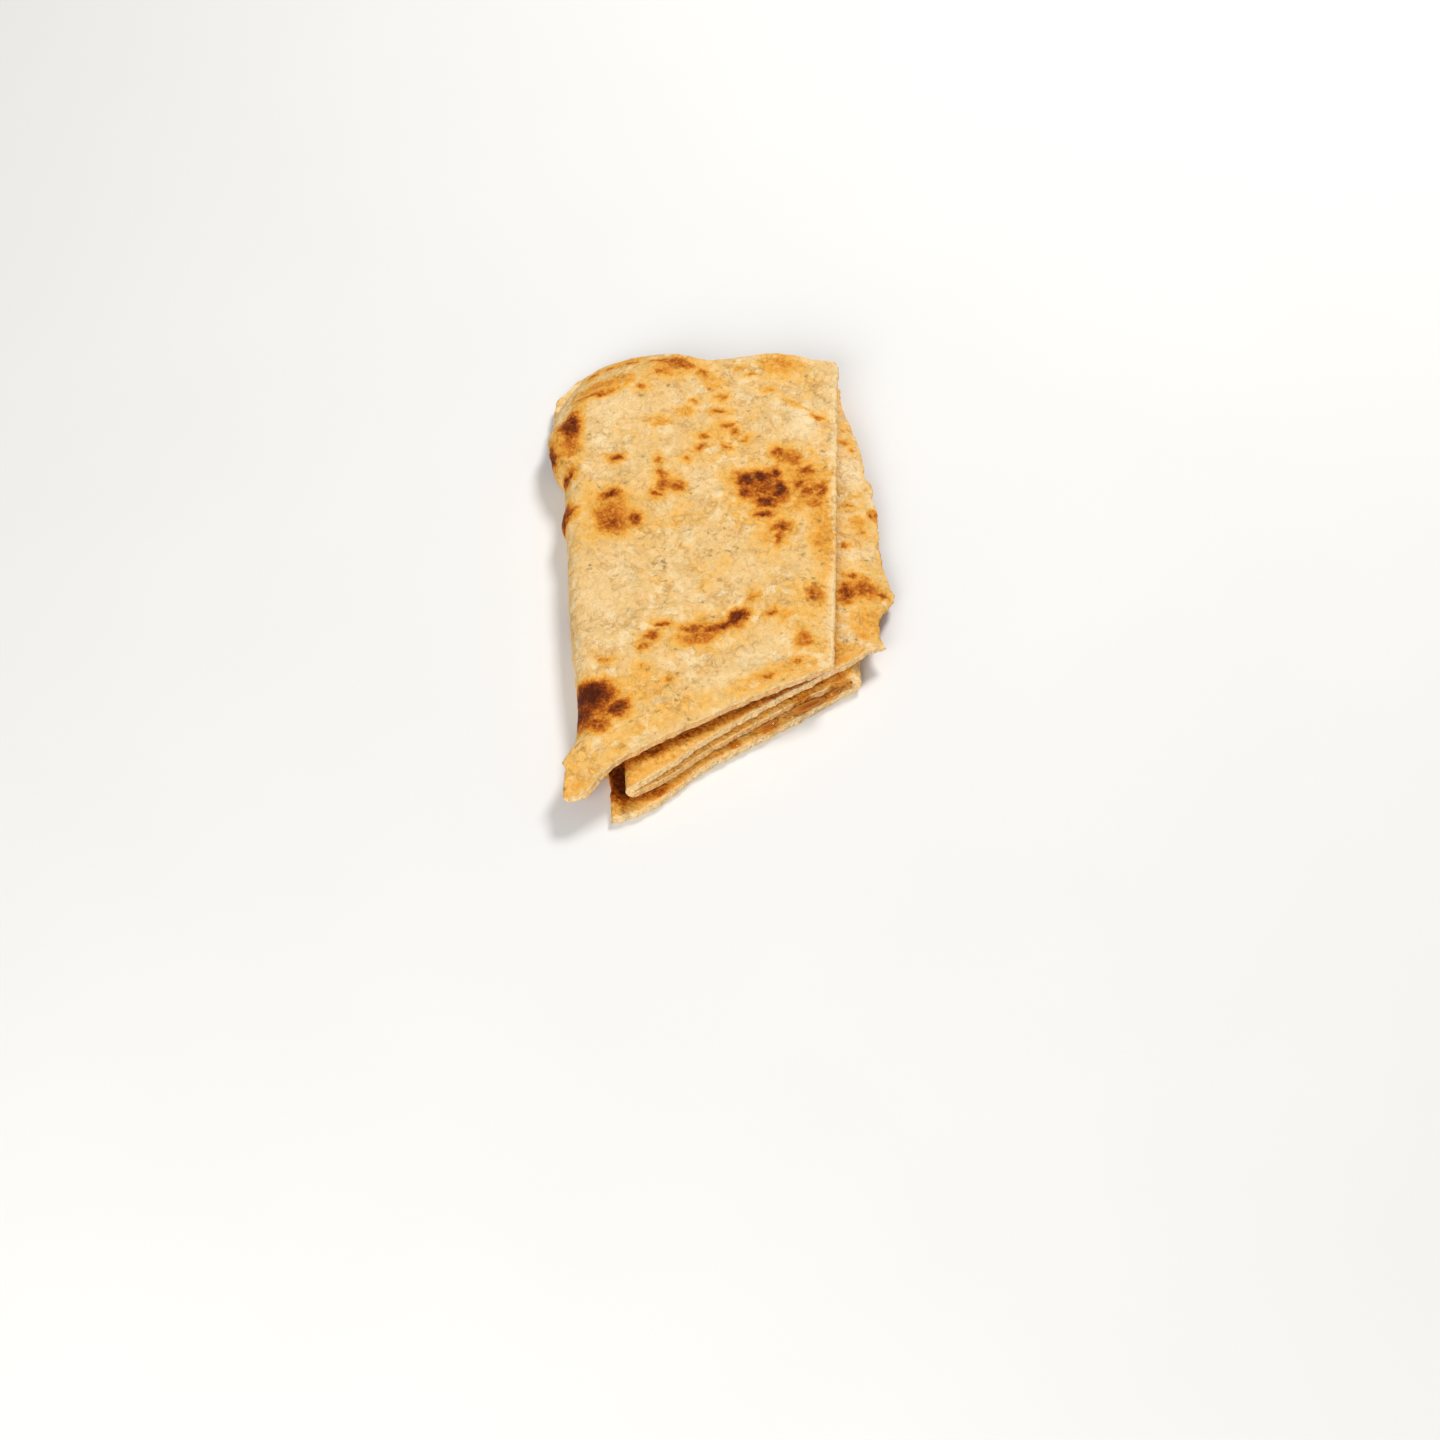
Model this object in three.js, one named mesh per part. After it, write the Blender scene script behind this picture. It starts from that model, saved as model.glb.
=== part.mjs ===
import * as THREE from 'three';

// A flatbread folded over itself three times and cut across at a slant.
// All sizes are in millimetres, with X across the folds, Y along them and Z up.
// The bread is one sheet of four leaves. From the top down they are the cover leaf,
// the tongue leaf, the inner leaf and the base leaf.

// Heights of the middle of each leaf and their thicknesses
const BASE_THICKNESS = 2.6;
const BASE_HEIGHT = BASE_THICKNESS / 2;
const INNER_THICKNESS = 2.4;
const INNER_HEIGHT = 4.3;
const TONGUE_THICKNESS = 2.4;
const TONGUE_HEIGHT = 7.2;
const COVER_THICKNESS = 2.6;
const COVER_HEIGHT = 11.2;
const COVER_SETTLE = 0.4;
const SETTLE_SPAN = [10, 60];
const RIM_THINNING = 0.35;
const RIM_WIDTH = 5;

// Left outline of the bread, as X at a given Y
const LEFT_SIDE = [
  [0, 0.2], [6, -0.4], [12, 0.5], [16.5, 1.7], [22, 2.7], [34, 3.1], [44, 2.2], [54, 1.5],
  [67, 1], [80, 0.8], [86.5, 0.5], [90.5, -0.7], [96, 0.2], [104, 0], [108.5, -2.3],
  [114, -3.4], [119, -3.3], [125, -2.4], [131, -2.9], [136, -2.4],
];
// Right rim of the cover leaf, as X at a given Y
const COVER_RIM = [[34, 67.6], [92, 71.7], [120, 73.5], [133, 74.4], [137, 75], [142, 74.5]];
// Torn right edge of the tongue leaf, as X at a given Y
const TORN_EDGE = [
  [46, 82.2], [48.5, 81], [54, 80.4], [57, 81.4], [60.5, 83.6], [64.5, 85.2], [69, 83.9],
  [74, 82.9], [84, 82.4], [92, 82.5], [96, 81.6], [100, 81.9], [103, 80.4], [113, 79.3],
  [121, 77], [127, 75.8], [137, 74.7],
];
// Where the base and inner leaves turn over on the right
const RIGHT_FOLD_X = 72;
// Where the inner and tongue leaves turn over on the left
const TONGUE_FOLD_X = 17.4;

// Slanted cut through each leaf, as Y at a given X
const COVER_CUT = [
  [-2, 3.6], [3, 3.3], [6, 4.6], [9, 7.4], [13, 10.8], [19, 14.6],
  [34, 22.2], [49, 29.8], [59, 33.6], [70, 37.8],
];
const TONGUE_CUT = [
  [15, 5.2], [18.5, 6.8], [27, 12.4], [34, 18], [49, 27.6], [59, 33.2],
  [68, 38.4], [73, 41.3], [78, 45], [83, 46.5],
];
const INNER_CUT = [[15, 5.6], [18.5, 6.4], [27, 11.4], [34, 16.6], [49, 25.8], [59, 31.4], [73, 38.6]];
const BASE_CUT = [[8, -0.4], [18, 2.4], [27, 8.2], [33, 13.6], [48, 22.2], [59, 28.6], [73, 37]];

// Far ends of the leaves, as Y at a given X
const COVER_END = [
  [-4, 131], [-2.8, 136.4], [0.5, 141], [5, 145.4], [11, 148.8], [17, 149.6], [22, 149.8],
  [30, 147.4], [35, 144.8], [40, 143.1], [48, 143.5], [57, 144.5], [63, 143.8], [69, 142],
  [73.5, 141.2], [75, 138.8],
];
const STACK_END = [
  [-4, 110], [3, 122.5], [6, 127], [10, 131.5], [16, 135], [23, 138],
  [32, 141], [46, 142.6], [60, 142.8], [74, 138.5],
];
const INNER_SETBACK = 1.6;
const TONGUE_SETBACK = 0.6;

// Left fold joining the cover and base leaves, open at the cut and at the far end
const FOLD_REACH = 5;
const FOLD_OPENS_FRONT = [11, 22];
const FOLD_OPENS_FAR = [110, 123];
const BASE_CORNER_X = 10.8;
const BASE_CORNER_SPAN = [13, 27];

// Drape of the cover leaf over the far left corner of the leaves below
const DRAPE_DROP = 8.2;
const DRAPE_LENGTH = 17;
const DRAPE_BEND = 1.3;
const DRAPE_FLOOR = 1.75;
// Sag of the loose tip of the cover leaf
const TIP_DROP = 4.6;
const TIP_REACH = 17;
const TIP_CENTRE_Y = 2;
// Sag of the tongue leaf beyond the right fold
const TONGUE_SAG = 3.1;
const TONGUE_SAG_FROM = 72;
const TONGUE_SAG_SPAN = 12;

// Gentle waves of the upper leaves: height, wave length in X and Y, shift
const COVER_WAVES = [[0.26, 47, 61, 0.4], [0.2, -31, 38, 2.1], [0.14, 23, -29, 4.4]];
const TONGUE_WAVES = [[0.1, 41, 53, 1.2], [0.06, -27, 33, 3.3]];

// Blisters and dips in the upper face of the cover leaf: X, Y, width, length, height
const BLISTERS = [
  [60, 124, 11, 12, 0.75], [30, 113, 13, 10, 0.5], [14, 92, 9, 11, 0.45],
  [52, 100, 15, 11, -0.4], [40, 78, 17, 12, 0.55], [22, 62, 12, 14, 0.4],
  [57, 60, 12, 15, 0.5], [36, 45, 14, 9, -0.35], [12, 36, 11, 12, -0.45],
  [50, 131, 10, 8, -0.45], [64, 84, 8, 13, 0.45], [9, 116, 9, 10, 0.5],
];
// Hollow left by a flake that came off the torn strip: X where it starts, Y range, depth
const FLAKE_FROM_X = 76.5;
const FLAKE_FROM_Y = 74;
const FLAKE_TO_Y = 81.5;
const FLAKE_DEPTH = 0.6;
const FLAKE_EDGE = 0.8;

// Spacing of the mesh
const COVER_COLUMNS = 24;
const FOLD_COLUMNS = 8;
const BASE_COLUMNS = 11;
const TURN_COLUMNS = 4;
const INNER_COLUMNS = 9;
const TONGUE_COLUMNS = 17;
const TONGUE_CROWDING = 1.7;
const BASE_CROWDING = 1.5;
const FRONT_ROWS = 5;
const MIDDLE_ROWS = 22;
const FAR_ROWS = 7;
const FRONT_SHARE = 0.11;
const FAR_SHARE = 0.87;
const NORMAL_STEP = 0.004;
const SOLVE_PASSES = 6;
const BORDER_MARGIN = 1e-9;

// Plan point that stands over the frame origin
const PLAN_CENTRE = [40.54, 75.36];

const FLOUR_TAN = 0xe0c08a;

function ease(from, to, at) {
  const share = Math.min(1, Math.max(0, (at - from) / (to - from)));
  return share * share * (3 - 2 * share);
}

function mix(first, second, share) {
  return first + (second - first) * share;
}

// Smooth curve through [position, value] pairs, level beyond both ends
function follow(points, at) {
  const last = points.length - 1;
  if (at <= points[0][0]) return points[0][1];
  if (at >= points[last][0]) return points[last][1];
  let i = 0;
  while (at > points[i + 1][0]) i += 1;
  const span = points[i + 1][0] - points[i][0];
  const slope = (k) => {
    const before = points[Math.max(k - 1, 0)];
    const after = points[Math.min(k + 1, last)];
    return (after[1] - before[1]) / (after[0] - before[0]);
  };
  const t = (at - points[i][0]) / span;
  const rise = points[i + 1][1] - points[i][1];
  const start = slope(i) * span;
  const end = slope(i + 1) * span;
  return points[i][1] + t * (start + t * (3 * rise - 2 * start - end + t * (start + end - 2 * rise)));
}

function waves(list, x, y) {
  return list.reduce((sum, [height, alongX, alongY, shift]) => (
    sum + height * Math.sin(2 * Math.PI * (x / alongX + y / alongY) + shift)
  ), 0);
}

// One where the left fold is closed and zero where the cover leaf is loose
function closed(y) {
  return ease(...FOLD_OPENS_FRONT, y) * (1 - ease(...FOLD_OPENS_FAR, y));
}

function coverLeft(y) {
  return follow(LEFT_SIDE, y) + FOLD_REACH;
}

function baseLeft(y) {
  const attached = follow(LEFT_SIDE, y) + FOLD_REACH;
  return mix(BASE_CORNER_X, attached, ease(...BASE_CORNER_SPAN, y));
}

function coverHeight(x, y) {
  const beyond = Math.max(0, y - follow(STACK_END, x)) / DRAPE_LENGTH;
  const drape = DRAPE_DROP * Math.min(1, beyond) ** DRAPE_BEND;
  const tip = TIP_DROP * (1 - ease(0, TIP_REACH, Math.hypot(x, y - TIP_CENTRE_Y)));
  const settle = COVER_SETTLE * ease(...SETTLE_SPAN, x);
  const height = COVER_HEIGHT - settle - tip - drape + waves(COVER_WAVES, x, y);
  return Math.max(DRAPE_FLOOR, height);
}

function tongueHeight(x, y) {
  const over = Math.max(0, x - TONGUE_SAG_FROM) / TONGUE_SAG_SPAN;
  return TONGUE_HEIGHT + waves(TONGUE_WAVES, x, y) - TONGUE_SAG * over * over;
}

// Half turn of the sheet between two leaf edges that stand above each other
function turn(x, fromZ, toZ, reach, share) {
  const angle = Math.PI * share;
  return { x: x + reach * Math.sin(angle), z: mix(fromZ, toZ, (1 - Math.cos(angle)) / 2) };
}

// Left fold: its upper half carries on as a loose lip wherever the fold is open
function leftFold(share, y) {
  const shut = closed(y);
  const across = Math.sin(Math.PI * share);
  const top = coverLeft(y);
  const lip = top - FOLD_REACH + (COVER_THICKNESS / 2) * shut;
  const loose = coverHeight(top - FOLD_REACH * across, y);
  const rolled = mix(BASE_HEIGHT, coverHeight(top, y), (1 + Math.cos(Math.PI * share)) / 2);
  if (share <= 0.5) return { x: mix(top, lip, across), z: mix(loose, rolled, shut) };
  const down = 2 * share - 1;
  const bare = mix(coverHeight(top - FOLD_REACH, y), BASE_HEIGHT, down);
  return { x: mix(baseLeft(y), lip, across), z: mix(bare, rolled, shut) };
}

// Each section of the sheet places a point from its share across and its Y
const SECTIONS = [
  {
    name: 'cover', columns: COVER_COLUMNS, cut: COVER_CUT, end: COVER_END, setback: 0,
    thickness: COVER_THICKNESS,
    place: (share, y) => {
      const x = mix(follow(COVER_RIM, y), coverLeft(y), share);
      return { x, z: coverHeight(x, y) };
    },
  },
  {
    name: 'left fold', columns: FOLD_COLUMNS, thickness: COVER_THICKNESS, setback: 0,
    place: leftFold,
  },
  {
    name: 'base', columns: BASE_COLUMNS, cut: BASE_CUT, end: STACK_END, setback: 0,
    thickness: BASE_THICKNESS, spread: (even) => even ** BASE_CROWDING,
    place: (share, y) => ({ x: mix(baseLeft(y), RIGHT_FOLD_X, share), z: BASE_HEIGHT }),
  },
  {
    name: 'right fold', columns: TURN_COLUMNS, thickness: INNER_THICKNESS, setback: 0,
    place: (share) => turn(
      RIGHT_FOLD_X, BASE_HEIGHT, INNER_HEIGHT, (INNER_HEIGHT - BASE_HEIGHT) / 2, share,
    ),
  },
  {
    name: 'inner', columns: INNER_COLUMNS, cut: INNER_CUT, end: STACK_END, setback: INNER_SETBACK,
    thickness: INNER_THICKNESS,
    place: (share) => ({ x: mix(RIGHT_FOLD_X, TONGUE_FOLD_X, share), z: INNER_HEIGHT }),
  },
  {
    name: 'tongue fold', columns: TURN_COLUMNS, thickness: INNER_THICKNESS, setback: 0,
    place: (share, y) => turn(
      TONGUE_FOLD_X, INNER_HEIGHT, tongueHeight(TONGUE_FOLD_X, y),
      -(TONGUE_HEIGHT - INNER_HEIGHT) / 2, share,
    ),
  },
  {
    name: 'tongue', columns: TONGUE_COLUMNS, cut: TONGUE_CUT, end: STACK_END, setback: TONGUE_SETBACK,
    thickness: TONGUE_THICKNESS, spread: (even) => 1 - (1 - even) ** TONGUE_CROWDING,
    place: (share, y) => {
      const x = mix(TONGUE_FOLD_X, follow(TORN_EDGE, y), share);
      return { x, z: tongueHeight(x, y) };
    },
  },
];

// Columns across the whole sheet, in order from the cover rim to the torn edge
function layColumns() {
  const columns = [];
  SECTIONS.forEach((section, index) => {
    const isFold = !section.cut;
    const first = isFold ? 1 : 0;
    const last = isFold ? section.columns - 1 : section.columns;
    for (let i = first; i <= last; i += 1) {
      const even = i / section.columns;
      columns.push({ section, index, share: section.spread ? section.spread(even) : even });
    }
  });
  return columns;
}

function layRows() {
  const rows = [];
  for (let i = 0; i < FRONT_ROWS; i += 1) rows.push((FRONT_SHARE * i) / FRONT_ROWS);
  for (let i = 0; i < MIDDLE_ROWS; i += 1) {
    rows.push(mix(FRONT_SHARE, FAR_SHARE, i / MIDDLE_ROWS));
  }
  for (let i = 0; i <= FAR_ROWS; i += 1) rows.push(mix(FAR_SHARE, 1, i / FAR_ROWS));
  return rows;
}

// Y limits of a section at a given X; a fold blends those of its two neighbours
function limits(index, share, x) {
  const section = SECTIONS[index];
  if (section.cut) {
    return [follow(section.cut, x), follow(section.end, x) - section.setback];
  }
  const before = limits(index - 1, 1, x);
  const after = limits(index + 1, 0, x);
  const blend = section.name === 'left fold' ? ease(0.5, 1, share) : share;
  return [mix(before[0], after[0], blend), mix(before[1], after[1], blend)];
}

// Middle of the sheet at a column share and a row share
function middle(index, share, row) {
  let y = mix(COVER_CUT[0][1], COVER_END[0][1], row);
  let point = SECTIONS[index].place(share, y);
  for (let pass = 0; pass < SOLVE_PASSES; pass += 1) {
    const [front, far] = limits(index, share, point.x);
    y = mix(front, far, row);
    point = SECTIONS[index].place(share, y);
  }
  return new THREE.Vector3(point.x, y, point.z);
}

// Position along the sheet as one number, so that steps may cross section borders
function onSheet(position, row) {
  const limit = Math.min(SECTIONS.length - BORDER_MARGIN, Math.max(0, position));
  const index = Math.floor(limit);
  return middle(index, limit - index, row);
}

function thicknessAt(column, point) {
  const { section } = column;
  let thickness = section.thickness;
  if (section.name === 'cover') {
    const inFromRim = follow(COVER_RIM, point.y) - point.x;
    const inFromEnd = follow(COVER_END, point.x) - point.y;
    thickness -= RIM_THINNING * (1 - ease(0, RIM_WIDTH, Math.min(inFromRim, inFromEnd)));
  }
  if (section.name === 'tongue') {
    const inFromTear = follow(TORN_EDGE, point.y) - point.x;
    thickness -= 2 * RIM_THINNING * (1 - ease(0, RIM_WIDTH, inFromTear));
  }
  return thickness;
}

// Extra height of the upper face: blisters on the cover, a lifted flake on the strip
function relief(column, point) {
  if (column.section.name === 'cover') {
    return BLISTERS.reduce((sum, [x, y, width, length, height]) => {
      const away = Math.hypot((point.x - x) / width, (point.y - y) / length);
      return sum + height * (1 - ease(0, 1, away));
    }, 0);
  }
  if (column.section.name === 'tongue') {
    const across = ease(FLAKE_FROM_X - FLAKE_EDGE, FLAKE_FROM_X + FLAKE_EDGE, point.x);
    const start = ease(FLAKE_FROM_Y - FLAKE_EDGE, FLAKE_FROM_Y + FLAKE_EDGE, point.y);
    const finish = ease(FLAKE_TO_Y - FLAKE_EDGE, FLAKE_TO_Y + FLAKE_EDGE, point.y);
    return -FLAKE_DEPTH * across * (start - finish);
  }
  return 0;
}

// Outer and inner face points of the sheet at one column and row
function facePoints(column, row) {
  const position = column.index + column.share;
  const point = middle(column.index, column.share, row);
  const across = onSheet(position + NORMAL_STEP, row).sub(onSheet(position - NORMAL_STEP, row));
  const nearRow = Math.max(0, row - NORMAL_STEP);
  const farRow = Math.min(1, row + NORMAL_STEP);
  const along = middle(column.index, column.share, farRow)
    .sub(middle(column.index, column.share, nearRow));
  const outward = along.cross(across).normalize();
  if (column.section.name === 'base') outward.set(0, 0, -1);
  const half = thicknessAt(column, point) / 2;
  const raised = relief(column, point);
  const onOuter = column.section.name === 'cover' ? raised : 0;
  const onInner = column.section.name === 'tongue' ? raised : 0;
  return [
    point.clone().addScaledVector(outward, half + onOuter),
    point.clone().addScaledVector(outward, -half - onInner),
  ];
}

// The lower half of the left fold is missing near the cut and near the far end
function isOpen(column, rowIndex) {
  const onLowerHalf = column.section.name === 'left fold' && column.share >= 0.5;
  const inMiddle = rowIndex >= FRONT_ROWS && rowIndex < FRONT_ROWS + MIDDLE_ROWS;
  return onLowerHalf && !inMiddle;
}

function sheetGeometry() {
  const columns = layColumns();
  const rows = layRows();
  const vertices = [];
  const triangles = [];
  const outer = [];
  const inner = [];
  columns.forEach((column) => {
    rows.forEach((row) => {
      const [outside, inside] = facePoints(column, row);
      outer.push(vertices.push(outside) - 1);
      inner.push(vertices.push(inside) - 1);
    });
  });
  const at = (c, r) => c * rows.length + r;
  const present = (c, r) => (
    c >= 0 && r >= 0 && c < columns.length - 1 && r < rows.length - 1 && !isOpen(columns[c], r)
  );
  const quad = (a, b, c, d) => triangles.push(a, b, c, a, c, d);
  for (let c = 0; c < columns.length - 1; c += 1) {
    for (let r = 0; r < rows.length - 1; r += 1) {
      if (!present(c, r)) continue;
      const corners = [at(c, r), at(c, r + 1), at(c + 1, r + 1), at(c + 1, r)];
      const [p, q, s, t] = corners;
      quad(outer[p], outer[q], outer[s], outer[t]);
      quad(inner[p], inner[t], inner[s], inner[q]);
      if (!present(c - 1, r)) quad(outer[p], inner[p], inner[q], outer[q]);
      if (!present(c + 1, r)) quad(outer[s], inner[s], inner[t], outer[t]);
      if (!present(c, r - 1)) quad(outer[t], inner[t], inner[p], outer[p]);
      if (!present(c, r + 1)) quad(outer[q], inner[q], inner[s], outer[s]);
    }
  }
  const used = new Map();
  const positions = [];
  const indices = triangles.map((vertex) => {
    if (!used.has(vertex)) {
      used.set(vertex, positions.length / 3);
      const { x, y, z } = vertices[vertex];
      positions.push(x - PLAN_CENTRE[0], y - PLAN_CENTRE[1], z);
    }
    return used.get(vertex);
  });
  const geometry = new THREE.BufferGeometry();
  geometry.setAttribute('position', new THREE.Float32BufferAttribute(positions, 3));
  geometry.setIndex(indices);
  geometry.computeVertexNormals();
  return geometry;
}

const crust = new THREE.MeshStandardMaterial({ color: FLOUR_TAN, roughness: 0.8, metalness: 0 });
const bread = new THREE.Mesh(sheetGeometry(), crust);
bread.name = 'folded_bread';

const group = new THREE.Group();
group.name = 'honey_chapati';
group.add(bread);

export default group;
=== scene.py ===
from collections import namedtuple
from math import cos, pi, radians, sin

import bpy
import numpy as np
from mathutils import Matrix, Vector


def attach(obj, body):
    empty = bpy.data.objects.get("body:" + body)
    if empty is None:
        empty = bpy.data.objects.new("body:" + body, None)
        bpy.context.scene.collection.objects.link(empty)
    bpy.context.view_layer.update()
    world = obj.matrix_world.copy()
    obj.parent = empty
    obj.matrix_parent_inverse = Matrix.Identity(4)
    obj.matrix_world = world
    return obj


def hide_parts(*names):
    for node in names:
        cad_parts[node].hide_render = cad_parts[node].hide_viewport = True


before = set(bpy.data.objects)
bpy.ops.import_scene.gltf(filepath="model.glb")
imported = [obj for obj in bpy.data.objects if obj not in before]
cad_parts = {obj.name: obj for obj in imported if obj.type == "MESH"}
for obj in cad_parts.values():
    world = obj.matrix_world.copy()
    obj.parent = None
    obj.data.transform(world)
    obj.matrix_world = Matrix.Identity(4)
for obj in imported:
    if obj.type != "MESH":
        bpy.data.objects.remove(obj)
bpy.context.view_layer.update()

# The honey chapati: one sheet of four leaves, folded over itself and cut at a slant.
# Lengths are in millimetres until the meshes are made, in the plan of the bread:
# X across the folds, Y along them, Z up. From the top down the leaves are the cover,
# the tongue, the inner leaf and the base.
scene = bpy.context.scene
MM = 0.001
PLAN_CENTRE = np.array([40.54, 75.36, 0])

# Heights of the middle of each leaf and their thicknesses
BASE_THICKNESS = 2.6
BASE_HEIGHT = BASE_THICKNESS / 2
INNER_THICKNESS = 2.4
INNER_HEIGHT = 4.3
TONGUE_THICKNESS = 2.4
TONGUE_HEIGHT = 7.2
COVER_THICKNESS = 2.6
COVER_HEIGHT = 11.2
COVER_SETTLE = 0.4
SETTLE_SPAN = (10, 60)
RIM_THINNING = 0.35
RIM_WIDTH = 5
TOP_LIMIT = 13.37

# Sides of the bread as X at a given Y: the left side, the right rim of the cover and the
# torn right edge of the tongue
LEFT_SIDE = [
    (0, 0.2), (6, -0.4), (12, 0.5), (16.5, 1.7), (22, 2.7), (34, 3.1), (44, 2.2), (54, 1.5), (67, 1),
    (80, 0.8), (86.5, 0.5), (90.5, -0.7), (96, 0.2), (104, 0), (108.5, -2.3), (114, -3.4), (119, -3.3),
    (125, -2.4), (131, -2.9), (136, -2.4),
]
COVER_RIM = [(34, 67.6), (92, 71.7), (120, 73.5), (133, 74.4), (137, 75), (142, 74.5)]
TORN_EDGE = [
    (46, 82.2), (48.5, 81), (54, 80.4), (57, 81.4), (60.5, 83.6), (64.5, 85.2), (69, 83.9), (74, 82.9),
    (84, 82.4), (92, 82.5), (96, 81.6), (100, 81.9), (103, 80.4), (113, 79.3), (121, 77), (127, 75.8),
    (137, 74.7),
]
# Where the leaves turn over on the right and on the left
RIGHT_FOLD_X = 72
TONGUE_FOLD_X = 17.4

# Slanted cut through each leaf, as Y at a given X
COVER_CUT = [
    (-2, 3.6), (3, 3.3), (6, 4.6), (9, 7.4), (13, 10.8), (19, 14.6), (34, 22.2), (49, 29.8), (59, 33.6),
    (70, 37.8),
]
TONGUE_CUT = [
    (15, 5.2), (18.5, 6.8), (27, 12.4), (34, 18), (49, 27.6), (59, 33.2), (68, 38.4), (73, 41.3), (78, 45),
    (83, 46.5),
]
INNER_CUT = [(15, 5.6), (18.5, 6.4), (27, 11.4), (34, 16.6), (49, 25.8), (59, 31.4), (73, 38.6)]
BASE_CUT = [(8, -0.4), (18, 2.4), (27, 8.2), (33, 13.6), (48, 22.2), (59, 28.6), (73, 37)]

# Far ends of the leaves, as Y at a given X
COVER_END = [
    (-4, 131), (-2.8, 136.4), (0.5, 141), (5, 145.4), (11, 148.8), (17, 149.6), (22, 149.8), (30, 147.4),
    (35, 144.8), (40, 143.1), (48, 143.5), (57, 144.5), (63, 143.8), (69, 142), (73.5, 141.2), (75, 138.8),
]
STACK_END = [
    (-4, 110), (3, 122.5), (6, 127), (10, 131.5), (16, 135), (23, 138), (32, 141), (46, 142.6), (60, 142.8),
    (74, 138.5),
]
INNER_SETBACK = 1.6
TONGUE_SETBACK = 0.6

# Left fold joining the cover and the base, open at the cut and at the far end
FOLD_REACH = 5
FOLD_OPENS_FRONT = (11, 22)
FOLD_OPENS_FAR = (110, 123)
BASE_CORNER_X = 10.8
BASE_CORNER_SPAN = (13, 27)

# Drape of the cover over the far left corner of the leaves below, and sag of its loose tip
DRAPE_DROP = 8.2
DRAPE_LENGTH = 17
DRAPE_BEND = 1.3
DRAPE_FLOOR = 1.75
TIP_DROP = 4.6
TIP_REACH = 17
TIP_CENTRE_Y = 2
# Sag of the tongue beyond the right fold
TONGUE_SAG = 3.1
TONGUE_SAG_SPAN = 12

# Gentle waves of the upper leaves: height, wave length in X and Y, shift
COVER_WAVES = [(0.26, 47, 61, 0.4), (0.2, -31, 38, 2.1), (0.14, 23, -29, 4.4)]
TONGUE_WAVES = [(0.1, 41, 53, 1.2), (0.06, -27, 33, 3.3)]
# Broad blisters and dips in the top of the cover: X, Y, width, length, height
BLISTERS = [
    (60, 124, 11, 12, 0.75), (30, 113, 13, 10, 0.5), (14, 92, 9, 11, 0.45), (52, 100, 15, 11, -0.4),
    (40, 78, 17, 12, 0.55), (22, 62, 12, 14, 0.4), (57, 60, 12, 15, 0.5), (36, 45, 14, 9, -0.35),
    (12, 36, 11, 12, -0.45), (50, 131, 10, 8, -0.45), (64, 84, 8, 13, 0.45), (9, 116, 9, 10, 0.5),
]
# Ridge and dip along the rim of the cover: height, distance from the rim, width
RIM_RIDGE = [(0.16, 0.9, 0.6), (-0.12, 3, 1.2)]
# Limit of the relief on the left fold, and the level of it under the base
SIDE_RELIEF = 0.12
# Hollow left by a flake that came off the torn strip
FLAKE_FROM_X = 76.5
FLAKE_FROM_Y = 74
FLAKE_TO_Y = 81.5
FLAKE_DEPTH = 0.6
FLAKE_EDGE = 0.45

# Spacing of the mesh, in cells. Counts are multiples of the block, so that hidden
# blocks can be closed with a few large triangles.
BLOCK = 8
COVER_COLUMNS = 128
FOLD_COLUMNS = 24
BASE_COLUMNS = 112
TURN_COLUMNS = 8
INNER_COLUMNS = 96
TONGUE_COLUMNS = 120
RIM_COLUMNS = 16
RIM_SHARE = 0.06
FRONT_ROWS = 40
MIDDLE_ROWS = 184
FAR_ROWS = 40
FRONT_SHARE = 0.11
FAR_SHARE = 0.87
CROWDING = 1.25
WALL_STEPS = 5
# How far in from an edge, and from the cut where the leaves form steps, the mesh is fine
EDGE_SHOWN = 1.7
STEP_SHOWN = 6.5
FOLD_SHOWN = 20
SOLVE_PASSES = 6

# Nicks in the edges, as depth of the large and the small ones and how far in they reach
CUT_NICKS = (0.34, 0.26, 0.9)
RIM_NICKS = (0.4, 0.12, 1.2)
SIDE_NICKS = (0.35, 0.1, 1.2)
TEAR_NICKS = (0.7, 0.35, 1.5)
# Calmer relief near an edge, and spans in X and from the cut where the tongue comes out
EDGE_CALM = 1.6
TONGUE_OUT = (68, 72)
STEP_FADE = (3, 9)
# Depth of the cut face between its crusts, of its pores and holes, and bulge of other edges
CUT_HOLLOW = 0.1
PORE_DEPTH = 0.25
HOLE_DEPTH = 0.6
EDGE_BULGE = 0.12
# How much more ragged the cut is below the cover, and waves of the far ends there
LOWER_ROUGHNESS = 1.7
FAR_WAVE_HEIGHT = 1.1
FAR_WAVE_REACH = 4
# Bites of the knife into both faces along the cut
BITE_DEPTH = 0.7
BITE_REACH = 0.6
# Rounding of the edges: reach in from the edge, and thickness left at the edge itself
CUT_ROUNDING = (0.45, 0.72)
RIM_ROUNDING = (1.3, 0.3)
FAR_AWAY = 100


def ease(start, end, at):
    share = np.clip((at - start) / (end - start), 0, 1)
    return share * share * (3 - 2 * share)


def mix(first, second, share):
    return first + (second - first) * share


def bell(at, centre, width):
    return np.exp(-(((at - centre) / width) ** 2))


def turned(u, v, angle):
    """A pair of offsets along directions turned by an angle."""
    c, s = cos(angle), sin(angle)
    return c * u + s * v, c * v - s * u


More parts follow.
